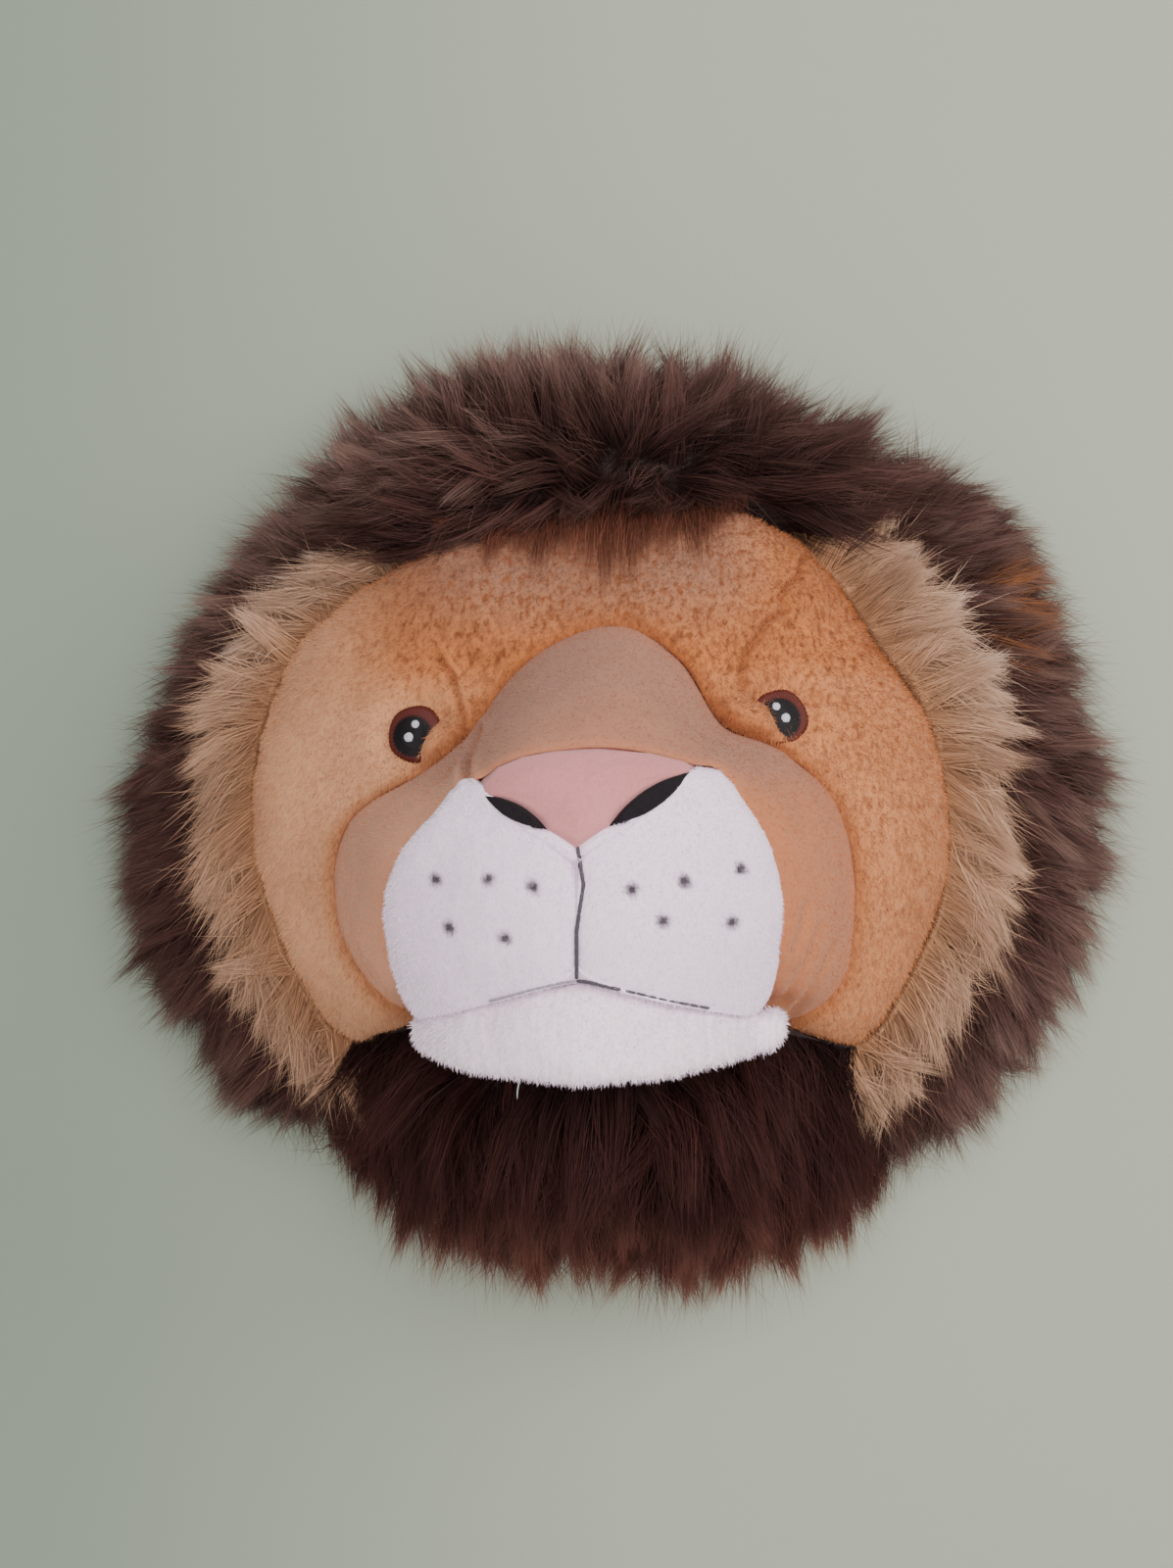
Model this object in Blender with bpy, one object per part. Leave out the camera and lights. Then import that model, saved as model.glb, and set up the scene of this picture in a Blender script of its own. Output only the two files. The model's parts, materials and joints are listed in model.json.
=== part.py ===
"""Plush lion head that hangs on a wall. Metres, +Z up, the back flat at Y = 0, the face towards -Y.

The head is sewn from cloth and fur, each panel with its stuffing behind it. Every panel is one solid. Seen from
the front the panels lie side by side or inside each other, so each is given by an outline round the middle of the
head and by how far its skin stands from the wall.
"""

import math

import bmesh
import bpy
from mathutils import Vector

for old in list(bpy.data.objects):
    bpy.data.objects.remove(old, do_unlink=True)

MM = 0.001

# Driving sizes, in millimetres until a point is made
SEAM_GAP = 0.4          # between two panels sewn edge to edge
RIM_GAP = 0.9           # round muzzle, nose and lip, where the seam shows as a groove
FUR_GAP = 0.7           # between two furs, whose edges are jagged
PILE_GAP = 1.3          # between the face and the furs round it
BACK_RADIUS = 122.0
BACK_THICKNESS = 6.0
BODY_BACK = BACK_THICKNESS + 0.5
FACE_EDGE = 66.0        # skin height at the seam of the face, at the cheeks
BROW_EDGE = 97.0        # the same under the crown
FACE_TOP = 132.0        # skin height in the middle of the face
CROWN = (50.0, 134.0)   # from which angle to which the crown covers the forehead
SNOUT_SEAT = 58.0       # floor of the face under the snout
MUZZLE_SEAT = 150.0     # flat front of the snout under muzzle, nose and lip
LIP_SEAT = 154.0
LOCKS = 52              # locks of fur in a full circle
FUR_LEAN = 6.0          # degrees that a lock's tip leans towards the floor at each side
BEARD_TURN = 0.5        # degrees between the mane's ends and the beard
BEARD_CORNERS = (166.0, 174.0)  # how far out the beard parts from the mane, left and right
HEAD_SIDES = 54         # face and snout share their corners
MUZZLE_SIDES = 40

# From which angle to which each fur goes: 0 is the viewer's right and 90 is up
MANE_SPAN = (-46.5, 226.0)
RUFF_LEFT = (133.5, MANE_SPAN[1])
RUFF_RIGHT = (MANE_SPAN[0], 49.5)

# Outlines, as (angle in degrees, radius)
FACE_OUTLINE = ((0, 128), (18, 124), (31, 119), (45, 121), (56, 121), (66, 118), (76, 111), (100, 106),
                (115, 110), (127, 114), (141, 123), (152, 130), (171, 133), (194, 132), (212, 132), (222, 130),
                (227, 119), (232, 104), (238, 94), (250, 89), (270, 87), (290, 89), (302, 95), (308, 105),
                (313, 120), (318, 130), (330, 130), (346, 130))
FUR_LINE = ((0, 149), (8, 152), (14, 160), (30, 158), (47, 150), (60, 140), (128, 132), (136, 140), (149, 157),
            (165, 162), (182, 155), (200, 157), (213, 153), (226, 152), (250, 145), (300, 145), (313, 153),
            (331, 150), (346, 158))
MANE_TIPS = ((3, 195), (13, 192), (23, 195), (33, 199), (43, 191), (52, 187), (62, 178), (72, 180), (81, 178),
             (91, 184), (100, 183), (110, 185), (119, 182), (129, 184), (138, 180), (148, 181), (158, 184),
             (167, 186), (177, 192), (187, 199), (197, 196), (207, 190), (217, 190), (226, 172), (238, 170),
             (300, 172), (313, 181), (322, 189), (332, 192), (342, 193), (353, 194))
BEARD_TIPS = ((-115, -120), (-104, -143), (-82, -166), (-60, -177), (-36, -185), (0, -184), (33, -187),
              (68, -182), (97, -163), (111, -144), (120, -127))
SNOUT_OUTLINE = ((4, 81), (17, 68), (35, 53), (64, 61), (84, 64.5), (111, 58), (144, 51), (158, 55), (166, 61), (172, 69),
                 (182, 88), (195, 98), (208, 103), (222, 102), (232, 94), (244, 87), (270, 84), (292, 86),
                 (306, 92), (316, 103), (326, 105), (335, 99), (351, 90))

# The rim that nose, muzzle and lip sit in, as (x, z, height of its edge)
BLOCK_RIM = ((5.4, 21.7, 216), (21.6, 19.9, 212.5), (32.9, 17, 208), (41.4, 14.6, 203.5), (49.6, 2.8, 201),
             (57.7, -11.9, 195), (61.6, -27.3, 187.5), (61.4, -42.7, 180.5), (59, -54.5, 170), (56.5, -61.5, 152),
             (48, -70.5, 152), (32, -77, 152), (0, -80, 152), (-32, -77.5, 152), (-51, -71.5, 152),
             (-59.5, -64, 152), (-63.2, -56.5, 170), (-65.8, -43.3, 180.5), (-65.3, -27.6, 188),
             (-58, -11.9, 200), (-46, 0.8, 208.5), (-39.2, 9.4, 210), (-34.1, 11, 212.5), (-30.1, 13.3, 213.5),
             (-26.5, 15.8, 214.5), (-19.6, 18.5, 215.5), (-10.3, 20.5, 216))

# Nose, nostrils and mouth, as (x, z) where they show on the front of the block
NOSE_TOP = ((33.2, 15.9), (21.7, 19.2), (5.5, 20.8), (-10.2, 19.7), (-19.6, 17.8), (-26.9, 14.6), (-31.4, 9.6))
NOSE_TIP = (-1.6, -8.8)
NOSTRIL_LEFT = ((-31.4, 6.8), (-10.1, -4.2), 3.0)      # its two ends and half its width
NOSTRIL_RIGHT = ((33.6, 14.4), (7.7, -3.3), 3.7)
CLEFT_X = -1.8          # the stitched line between the muzzle's pads
MOUTH = ((-58, -66.0), (-49.7, -63.7), (-28, -57.0), (-3, -50.2), (8.5, -52.2), (31.2, -58.3), (49.4, -63.4),
         (55, -64.6))
LIP_BELOW = ((60, -65.2), (64.6, -66.8), (65.8, -70.5), (64.0, -74.8), (46.3, -78.2), (24.8, -80.4), (1.6, -81.6),
             (-24.4, -80.4), (-46, -78.6), (-57, -76.6), (-61, -72.5), (-60.8, -68.2))

LIP_ROLL = 14.0         # how much lower the lip's skin lies at its lower edge than at the mouth

EYES = {"eye_left": (-63.7, 26.9), "eye_right": (63.5, 32.6)}
EYE_RADIUS = 9.6
EYE_DOME = 2.6
EYE_DEPTH = 3.0


def lerp(a, b, share):
    return a + (b - a) * share


def smooth(share):
    share = min(max(share, 0.0), 1.0)
    return share * share * (3 - 2 * share)


def between(angle, low, high, soft):
    """1 inside the range of angles and 0 outside it, with a soft change as wide as soft."""
    return smooth((angle - low) / soft + 0.5) * smooth((high - angle) / soft + 0.5)


def hermite(p0, p1, m0, m1, t):
    t2, t3 = t * t, t * t * t
    return (2 * t3 - 3 * t2 + 1) * p0 + (t3 - 2 * t2 + t) * m0 + (3 * t2 - 2 * t3) * p1 + (t3 - t2) * m1


def around(keys, angle):
    """The radius at an angle, on a smooth closed line through the keys."""
    n = len(keys)
    angle %= 360
    i = max((k for k in range(n) if keys[k][0] <= angle), default=n - 1)

    def key(j):
        turn, place = divmod(j, n)
        return keys[place][0] + 360 * turn, keys[place][1]

    if angle < keys[0][0]:
        angle += 360
    (a0, r0), (a1, r1), (a2, r2), (a3, r3) = key(i - 1), key(i), key(i + 1), key(i + 2)
    width = a2 - a1
    slope1 = (r2 - r0) / (a2 - a0) * width
    slope2 = (r3 - r1) / (a3 - a1) * width
    return hermite(r1, r2, slope1, slope2, (angle - a1) / width)


def along(keys, x):
    """The second value at x, on a smooth open line through the keys."""
    keys = sorted(keys)
    x = min(max(x, keys[0][0]), keys[-1][0])
    i = max(k for k in range(len(keys) - 1) if keys[k][0] <= x)
    a1, r1 = keys[i]
    a2, r2 = keys[i + 1]
    a0, r0 = keys[max(i - 1, 0)]
    a3, r3 = keys[min(i + 2, len(keys) - 1)]
    width = a2 - a1
    return hermite(r1, r2, (r2 - r0) / (a2 - a0) * width, (r3 - r1) / (a3 - a1) * width, (x - a1) / width)


def polar(angle, radius):
    return radius * math.cos(math.radians(angle)), radius * math.sin(math.radians(angle))


def point(x, z, height):
    """A place on the head: x and z in the wall's plane and height out from the wall, all in millimetres."""
    return Vector((x * MM, -height * MM, z * MM))


def cornered(keys, angle):
    """The radius at an angle on the polygon that has HEAD_SIDES corners on the smooth line."""
    step = 360 / HEAD_SIDES
    start = math.floor(angle / step + 1e-9) * step
    r0, r1 = around(keys, start), around(keys, start + step)
    first, second = math.radians(angle - start), math.radians(start + step - angle)
    return r0 * r1 * math.sin(math.radians(step)) / (r0 * math.sin(first) + r1 * math.sin(second))


def face_radius(angle):
    return cornered(FACE_OUTLINE, angle)


def face_edge(angle):
    return lerp(FACE_EDGE, BROW_EDGE, between(angle, *CROWN, 30))


def face_skin(x, z):
    """How far the face's dome stands from the wall."""
    angle = math.degrees(math.atan2(z, x))
    share = min(math.hypot(x, z) / face_radius(angle), 1.0)
    edge = face_edge(angle)
    return edge + (FACE_TOP - edge) * math.sqrt(max(1 - share ** 3.0, 0.0))


def material(name, colour, roughness):
    made = bpy.data.materials.new(name)
    made.use_nodes = True
    shader = made.node_tree.nodes["Principled BSDF"]
    shader.inputs["Base Color"].default_value = (*colour, 1)
    shader.inputs["Roughness"].default_value = roughness
    shader.inputs["Metallic"].default_value = 0.0
    made.diffuse_color = (*colour, 1)
    return made


def solid(name, surface, corners, faces):
    """One object from corners in metres and faces, facing out."""
    mesh = bpy.data.meshes.new(name)
    mesh.from_pydata([tuple(c) for c in corners], [], faces)
    shape = bmesh.new()
    shape.from_mesh(mesh)
    bmesh.ops.recalc_face_normals(shape, faces=shape.faces)
    shape.to_mesh(mesh)
    shape.free()
    mesh.materials.append(surface)
    obj = bpy.data.objects.new(name, mesh)
    bpy.context.scene.collection.objects.link(obj)
    return obj


def loft(name, surface, rings):
    """Closed rings of equal length joined one to the next, with the first and last closed to their middle."""
    n = len(rings[0])
    corners = [corner for ring in rings for corner in ring]
    faces = []
    for k in range(len(rings) - 1):
        for i in range(n):
            j = (i + 1) % n
            faces.append((k * n + i, k * n + j, (k + 1) * n + j, (k + 1) * n + i))
    for k in (0, len(rings) - 1):
        middle = sum(rings[k], Vector()) / n
        corners.append(middle)
        faces += [(k * n + i, k * n + (i + 1) % n, len(corners) - 1) for i in range(n)]
    return solid(name, surface, corners, faces)


def sweep(name, surface, sections):
    """Closed sections of equal length joined side by side, with the first and the last as flat ends."""
    m = len(sections[0])
    corners = [corner for section in sections for corner in section]
    faces = []
    for k in range(len(sections) - 1):
        for i in range(m):
            j = (i + 1) % m
            faces.append((k * m + i, k * m + j, (k + 1) * m + j, (k + 1) * m + i))
    last = (len(sections) - 1) * m
    faces += [tuple(range(m)), tuple(range(last, last + m))]
    return solid(name, surface, corners, faces)


def grown(outline, by):
    """A closed outline of (x, z) points moved outwards, or inwards where by is negative."""
    n = len(outline)
    area = sum(outline[i - 1][0] * outline[i][1] - outline[i][0] * outline[i - 1][1] for i in range(n))
    turn = 1 if area > 0 else -1
    moved = []
    for i, (x, z) in enumerate(outline):
        (x0, z0), (x2, z2) = outline[i - 1], outline[(i + 1) % n]
        length = math.hypot(x2 - x0, z2 - z0)
        moved.append((x + turn * by * (z2 - z0) / length, z - turn * by * (x2 - x0) / length))
    return moved


def resampled(points, count, centre):
    """A closed polyline cut by rays from the centre, at even steps of angle."""
    cx, cz = centre
    made = []
    for k in range(count):
        way = 2 * math.pi * k / count
        dx, dz = math.cos(way), math.sin(way)
        best = None
        for i, end in enumerate(points):
            start = points[i - 1]
            ax, az = start[0] - cx, start[1] - cz
            ex, ez = end[0] - start[0], end[1] - start[1]
            cross = dx * ez - dz * ex
            if abs(cross) < 1e-9:
                continue
            reach = (ax * ez - az * ex) / cross
            share = (ax * dz - az * dx) / cross
            if reach > 0 and -1e-9 <= share <= 1 + 1e-9 and (best is None or reach > best[0]):
                rest = [lerp(start[v], end[v], share) for v in range(2, len(end))]
                best = (reach, rest)
        made.append((cx + best[0] * dx, cz + best[0] * dz, *best[1]))
    return made


def curved(keys, steps=6):
    """A closed smooth line through the keys, with every value of a key carried along."""
    n = len(keys)
    made = []
    for i in range(n):
        k0, k1, k2, k3 = keys[i - 1], keys[i], keys[(i + 1) % n], keys[(i + 2) % n]
        for s in range(steps):
            t = s / steps
            made.append(tuple(
                hermite(k1[v], k2[v], (k2[v] - k0[v]) / 2, (k3[v] - k1[v]) / 2, t) for v in range(len(k1))))
    return made


def lock_grid():
    """Angles and tooth heights of the locks: each rises to its tip and drops faster on one side."""
    grid = []
    shape = ((0.0, 0.0), (0.32, 0.72), (0.58, 1.0), (0.82, 0.42))
    for k in range(LOCKS):
        start = (k + 0.22 * math.sin(2.4 * k)) * 360 / LOCKS
        end = (k + 1 + 0.22 * math.sin(2.4 * (k + 1))) * 360 / LOCKS
        strength = 0.72 + 0.28 * math.sin(5.1 * k + 0.7)
        for share, height in shape:
            grid.append((lerp(start, end, share), height * strength, k))
    return grid


GRID = lock_grid()


def tooth(index, shift=0):
    """Height of the locks' teeth at a place in the grid, from 0 to 1, moved along by shift steps."""
    return GRID[(index + shift) % len(GRID)][1]


def fur_line(index):
    """The jagged line where the cheek ruffs' tips lie on the mane."""
    angle = GRID[index % len(GRID)][0]
    ruffled = max(between(angle % 360, 140, 225, 12), between((angle + 90) % 360, 48, 138, 8))
    taper = 1 - 0.5 * between(angle % 360, 120, 140, 10)
    return around(FUR_LINE, angle) + ruffled * taper * 11 * (tooth(index) - 0.5)


def sector(low, high):
    """Places in the grid of locks between two angles, counterclockwise, ending exactly where the beard begins."""
    places = [(GRID[i % len(GRID)][0] + 360 * (i // len(GRID)), i) for i in range(-len(GRID), 2 * len(GRID))]
    inside = [(angle, i) for angle, i in places if low < angle < high]
    if low == MANE_SPAN[0]:
        inside.insert(0, (low, inside[0][1] - 1))
    if high == MANE_SPAN[1]:
        inside.append((high, inside[-1][1] + 1))
    return inside


# Back panel
def make_back_panel():
    cloth = material("back_cloth", (0.075, 0.045, 0.035), 0.9)
    sides = 48
    rim = [polar(360 * k / sides, BACK_RADIUS) for k in range(sides)]
    corners = [point(x, z, height) for height in (0.0, BACK_THICKNESS) for x, z in rim]
    faces = [(k, (k + 1) % sides, sides + (k + 1) % sides, sides + k) for k in range(sides)]
    faces += [tuple(range(sides)), tuple(range(sides, 2 * sides))]
    return solid("back_panel", cloth, corners, faces)


# Face, a dish whose rim is the dome and whose floor carries the snout
def make_face():
    pile = material("face_plush", (0.45, 0.235, 0.125), 0.85)
    angles = [360 * k / HEAD_SIDES for k in range(HEAD_SIDES)]
    outer = [polar(a, face_radius(a)) for a in angles]
    hole = [polar(a, around(SNOUT_OUTLINE, a) + SEAM_GAP) for a in angles]
    rings = [[point(x * 0.985, z * 0.985, BODY_BACK) for x, z in outer],
             [point(x, z, FACE_EDGE - 14) for x, z in outer],
             [point(x, z, face_edge(a)) for a, (x, z) in zip(angles, outer)]]
    for share in (0.04, 0.13, 0.3, 0.6):
        ring = []
        for (x0, z0), (x1, z1) in zip(outer, hole):
            x, z = lerp(x0, x1, share), lerp(z0, z1, share)
            ring.append(point(x, z, face_skin(x, z)))
        rings.append(ring)
    rings.append([point(x, z, face_skin(x, z) - 1.5) for x, z in hole])
    rings.append([point(x, z, SNOUT_SEAT) for x, z in hole])
    return loft("face", pile, rings)


# Snout, from its seat in the face out to the rim round the muzzle
def make_snout():
    velour = material("snout_velour", (0.44, 0.255, 0.175), 0.8)
    angles = [360 * k / HEAD_SIDES for k in range(HEAD_SIDES)]
    outer = [polar(a, around(SNOUT_OUTLINE, a)) for a in angles]
    block = resampled(curved(BLOCK_RIM), HEAD_SIDES, (0, -8))
    rings = [[point(x * 0.98, z * 0.98, SNOUT_SEAT + SEAM_GAP) for x, z in outer],
             [point(x, z, face_skin(x, z) - 2.0) for x, z in outer]]
    for share in (0.1, 0.28, 0.5, 0.74, 0.92):
        ring = []
        for (x0, z0), (x1, z1, rim) in zip(outer, block):
            x, z = lerp(x0, x1, share), lerp(z0, z1, share)
            low = face_skin(x0, z0) - 1.0
            rise = lerp(math.sin(share * math.pi / 2), share, 0.45)
            ring.append(point(x, z, lerp(low, rim + 1.5, rise)))
        rings.append(ring)
    rings.append([point(x, z, rim) for x, z, rim in block])
    rings.append([point(x, z, MUZZLE_SEAT) for x, z, rim in block])
    return loft("snout", velour, rings)


def front_skin(x, z):
    """How far the front of muzzle and nose stands from the wall: one broad dome that both share."""
    side = (x + 2.2) / 74
    up = (z + 14) / (64 if z > -14 else 82)
    return 150 + 79 * math.sqrt(max(1 - side * side * 0.98 - up * up * 0.86, 0.0))


def leaf(ends, half_width, bulge_up, bulge_down):
    """A leaf between two ends, as its upper and its lower edge, both from the first end to the second."""
    (x0, z0), (x1, z1) = ends
    length = math.hypot(x1 - x0, z1 - z0)
    nx, nz = (z0 - z1) / length, (x1 - x0) / length
    if nz < 0:
        nx, nz = -nx, -nz
    edges = []
    for bulge in (bulge_up, -bulge_down):
        edge = []
        for k in range(7):
            t = k / 6
            swell = math.sin(math.pi * t) ** 0.8 * half_width * bulge
            edge.append((lerp(x0, x1, t) + nx * swell, lerp(z0, z1, t) + nz * swell))
        edges.append(edge)
    return edges


LEFT_UP, LEFT_DOWN = leaf(NOSTRIL_LEFT[:2], NOSTRIL_LEFT[2], 1.0, 1.0)
RIGHT_UP, RIGHT_DOWN = leaf(NOSTRIL_RIGHT[:2], NOSTRIL_RIGHT[2], 0.9, 1.1)


# Muzzle, two pads with a cleft between them
def make_muzzle():
    velboa = material("muzzle_velboa", (0.66, 0.58, 0.65), 0.8)
    rim = [(x, z) for x, z, height in curved(BLOCK_RIM)]
    right = [p for p in rim if p[0] > 0 and along(MOUTH, p[0]) + 0.4 < p[1] < 14.5]
    left = [p for p in rim if p[0] < -33.5 and along(MOUTH, p[0]) + 0.4 < p[1]]
    right.sort(key=lambda p: -p[1])
    left.sort(key=lambda p: p[1])
    mouth = sorted(MOUTH, reverse=True)
    mouth = [(x, along(MOUTH, x)) for x in [lerp(mouth[0][0], mouth[-1][0], k / 20) for k in range(21)]]
    top = LEFT_DOWN + [NOSE_TIP] + RIGHT_DOWN[::-1]
    outline = grown(top + right + mouth + left, -RIM_GAP)
    edge = resampled(outline, MUZZLE_SIDES, (CLEFT_X, -32))
    back = [point(x, z, MUZZLE_SEAT + SEAM_GAP) for x, z in edge]
    rings = [back]
    for share, drop in ((0.0, 3.4), (0.06, 1.2), (0.22, 0.2), (0.5, -0.4), (0.8, 0.2), (0.97, 2.4)):
        ring = []
        for x, z in edge:
            px, pz = lerp(x, CLEFT_X, share), lerp(z, min(max(z, -46), -14), share)
            ring.append(point(px, pz, front_skin(px, pz) - drop))
        rings.append(ring)
    return loft("muzzle", velboa, rings)


# Nose, a soft triangle above the nostrils
def make_nose():
    velour = material("nose_velour", (0.57, 0.36, 0.355), 0.75)
    outline = list(NOSE_TOP) + LEFT_UP + [NOSE_TIP] + RIGHT_UP[::-1]
    centre = (1.0, 8.5)
    edge = resampled(grown(outline, -RIM_GAP), 28, centre)
    rings = [[point(x, z, MUZZLE_SEAT + SEAM_GAP) for x, z in edge]]
    for share, drop in ((0.0, 2.6), (0.12, 0.4), (0.4, -1.4), (0.75, -2.4)):
        ring = []
        for x, z in edge:
            px, pz = lerp(x, centre[0], share), lerp(z, centre[1], share)
            ring.append(point(px, pz, front_skin(px, pz) - drop + 1.0))
        rings.append(ring)
    return loft("nose", velour, rings)


# Nostrils, a black leaf on each side under the nose
def make_nostril(name, upper, lower, felt):
    edge = grown(upper + lower[-2:0:-1], -SEAM_GAP)
    cx = sum(p[0] for p in edge) / len(edge)
    cz = sum(p[1] for p in edge) / len(edge)
    rings = [[point(x, z, MUZZLE_SEAT + SEAM_GAP) for x, z in edge]]
    for share, drop in ((0.02, 5.6), (0.4, 4.6)):
        ring = []
        for x, z in edge:
            px, pz = lerp(x, cx, share), lerp(z, cz, share)
            ring.append(point(px, pz, front_skin(px, pz) - drop))
        rings.append(ring)
    return loft(name, felt, rings)


def lip_edges(x):
    """Where the lip's roll begins at the mouth and where it ends below, as two z values."""
    return along(MOUTH, x), along(sorted(LIP_BELOW[2:-1]), x)


def lip_skin(x, z):
    """How far the lip stands from the wall: level with the muzzle at the mouth, and rolled back below it."""
    mouth, below = lip_edges(x)
    down = min(max((mouth - z) / (mouth - below), 0.0), 1.0)
    return max(front_skin(x, mouth) - 2.0, 178.0) - LIP_ROLL * down ** 4


# Lower lip, a gathered roll under the mouth
def make_lower_lip():
    velboa = material("lip_velboa", (0.68, 0.60, 0.66), 0.85)
    mouth = [(x, along(MOUTH, x) - 0.5) for x in [lerp(-58, 55, k / 16) for k in range(17)]]
    outline = mouth + list(LIP_BELOW)
    outline = [(x, z) for x, z in outline]
    centre = (2.0, -70.5)
    edge = resampled(grown(outline, -RIM_GAP), 36, centre)
    rings = [[point(x, z, LIP_SEAT) for x, z in edge]]
    for share, drop in ((0.0, 6.0), (0.12, 2.0), (0.4, 0.3), (0.85, 0.0)):
        ring = []
        for x, z in edge:
            px = lerp(x, centre[0], share * 0.16)
            pz = lerp(z, sum(lip_edges(px)) / 2, share)
            ring.append(point(px, pz, lip_skin(px, pz) - drop))
        rings.append(ring)
    return loft("lower_lip", velboa, rings)


# Eyes, a low dome set into the face square to its skin
def eye_rings(x, z, extra):
    """The rings of one eye, which the face's socket repeats a little larger."""
    middle = Vector((x, -face_skin(x, z), z))
    across = Vector((x + 2, -face_skin(x + 2, z), z)) - middle
    up = Vector((x, -face_skin(x, z + 2), z + 2)) - middle
    out = across.cross(up).normalized()
    if out.y > 0:
        out = -out
    across.normalize()
    up = across.cross(out).normalized()
    sides = 20
    rings = []
    for radius, height in ((1.0, -EYE_DEPTH - extra), (1.0, 0.6), (0.9, 1.5), (0.5, EYE_DOME)):
        ring = []
        for k in range(sides):
            way = 2 * math.pi * k / sides
            reach = EYE_RADIUS * radius + extra
            spot = middle + across * (reach * math.cos(way)) + up * (reach * math.sin(way)) + out * height
            ring.append(spot * MM)
        rings.append(ring)
    return rings


def make_eyes(face):
    thread = material("eye_thread", (0.035, 0.016, 0.014), 0.4)
    for name, (x, z) in EYES.items():
        loft(name, thread, eye_rings(x, z, 0.0))
        socket = loft(name + "_socket", thread, eye_rings(x, z, SEAM_GAP))
        socket.hide_render = True
        socket.display_type = "WIRE"
        cut = face.modifiers.new(name + "_socket", "BOOLEAN")
        cut.operation = "DIFFERENCE"
        cut.solver = "EXACT"
        cut.object = socket


def fur_point(angle, radius, height, root):
    """A place in fur that leans: away from its root the locks turn a few degrees towards the floor."""
    lean = FUR_LEAN * max(radius - root, 0) / 60 * between(angle, MANE_SPAN[0] + 9, MANE_SPAN[1] - 9, 18)
    return point(*polar(angle - lean * math.cos(math.radians(angle)), radius), height)


# Cheek ruffs, crescents of long tan fur whose tips lie on the mane
def make_ruff(name, low, high, surface):
    sections = []
    for angle, i in sector(low, high):
        inner = face_radius(angle) + PILE_GAP
        outer = fur_line(i)
        section = [point(*polar(angle, inner), BODY_BACK)]
        for share, height, ridge in ((0.0, 74, 1.0), (0.2, 83, 2.5), (0.5, 82, 4.0), (0.8, 73, 4.5)):
            lift = ridge * (tooth(i, 2 if share < 0.4 else 0) - 0.5)
            section.append(point(*polar(angle, lerp(inner, outer, share)), height + lift))
        section.append(point(*polar(angle, outer), 62 + 3 * tooth(i)))
        section.append(point(*polar(angle, outer), BODY_BACK))
        sections.append(section)
    return sweep(name, surface, sections)


def in_ruff(angle):
    angle = (angle + 180) % 360 - 180
    return RUFF_RIGHT[0] <= angle <= RUFF_RIGHT[1] or RUFF_LEFT[0] <= angle % 360 <= RUFF_LEFT[1]


# Mane, a C of long brown fur with the crown over the forehead
def make_mane():
    fur = material("mane_fur", (0.055, 0.028, 0.022), 0.8)
    sections = []
    for angle, i in sector(*MANE_SPAN):
        crown = between(angle, *CROWN, 16)
        inner = fur_line(i) + FUR_GAP if in_ruff(angle) else face_radius(angle) + PILE_GAP
        tips = around(MANE_TIPS, angle) + 3 - 9 * (1 - tooth(i))
        rise = lerp(54, 106, crown)
        section = [fur_point(angle, inner, BODY_BACK, inner)]
        steps = ((0.0, rise, 2.0, 0), (0.22, rise + lerp(3, 9, crown), 5.0, 2), (0.46, lerp(56, 103, crown), 6.0, 0),
                 (0.7, lerp(50, 82, crown), 6.0, 2), (0.88, lerp(41, 58, crown), 4.0, 0))
        for share, height, ridge, shift in steps:
            lift = ridge * (tooth(i, shift) - 0.5)
            section.append(fur_point(angle, lerp(inner, tips, share), height + lift, inner))
        section.append(fur_point(angle, tips, lerp(26, 34, crown), inner))
        section.append(fur_point(angle, tips - 12, 9, inner))
        section.append(fur_point(angle, max(inner, BACK_RADIUS) + 6, BODY_BACK, inner))
        sections.append(section)
    return sweep("mane", fur, sections)


# Beard, long brown fur that hangs from under the lip
def make_beard():
    fur = material("beard_fur", (0.03, 0.013, 0.011), 0.8)
    sections = []
    columns = 52
    first, last = MANE_SPAN[1] + BEARD_TURN, MANE_SPAN[0] + 360 - BEARD_TURN
    left, right = polar(first, BEARD_CORNERS[0])[0], polar(last, BEARD_CORNERS[1])[0]
    for k in range(columns + 1):
        share = k / columns
        angle = lerp(first, last, share)
        middle = math.sin(math.pi * share)
        x0, z0 = polar(angle, face_radius(angle) + PILE_GAP)
        teeth = (0.0, 0.7, 1.0, 0.4)[k % 4] * (0.7 + 0.3 * math.sin(4.3 * (k // 4)))
        x1 = lerp(left, right, smooth(share) * 0.25 + share * 0.75)
        z1 = along(BEARD_TIPS, x1) + 9 * (1 - teeth) * smooth(middle * 3)
        if k in (0, columns):
            z1 = polar(angle, BEARD_CORNERS[k // columns])[1]
        top = lerp(92, 156, middle ** 0.7)
        section = [point(x0, z0, BODY_BACK)]
        for step, height, ridge in ((0.0, top, 1.0), (0.14, top + 3, 3.0), (0.36, lerp(84, 143, middle), 5.0),
                                    (0.62, lerp(72, 117, middle), 6.0), (0.85, lerp(56, 84, middle), 5.0)):
            shifted = (0.0, 0.7, 1.0, 0.4)[(k + (2 if step in (0.14, 0.62) else 0)) % 4]
            section.append(point(lerp(x0, x1, step), lerp(z0, z1, step), height + ridge * (shifted - 0.5)))
        section.append(point(x1, z1, lerp(40, 46, middle)))
        section.append(point(lerp(x0, x1, 0.9), lerp(z0, z1, 0.9), 14))
        section.append(point(lerp(x0, x1, 0.5), lerp(z0, z1, 0.5), BODY_BACK))
        sections.append(section)
    return sweep("beard", fur, sections)


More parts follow.
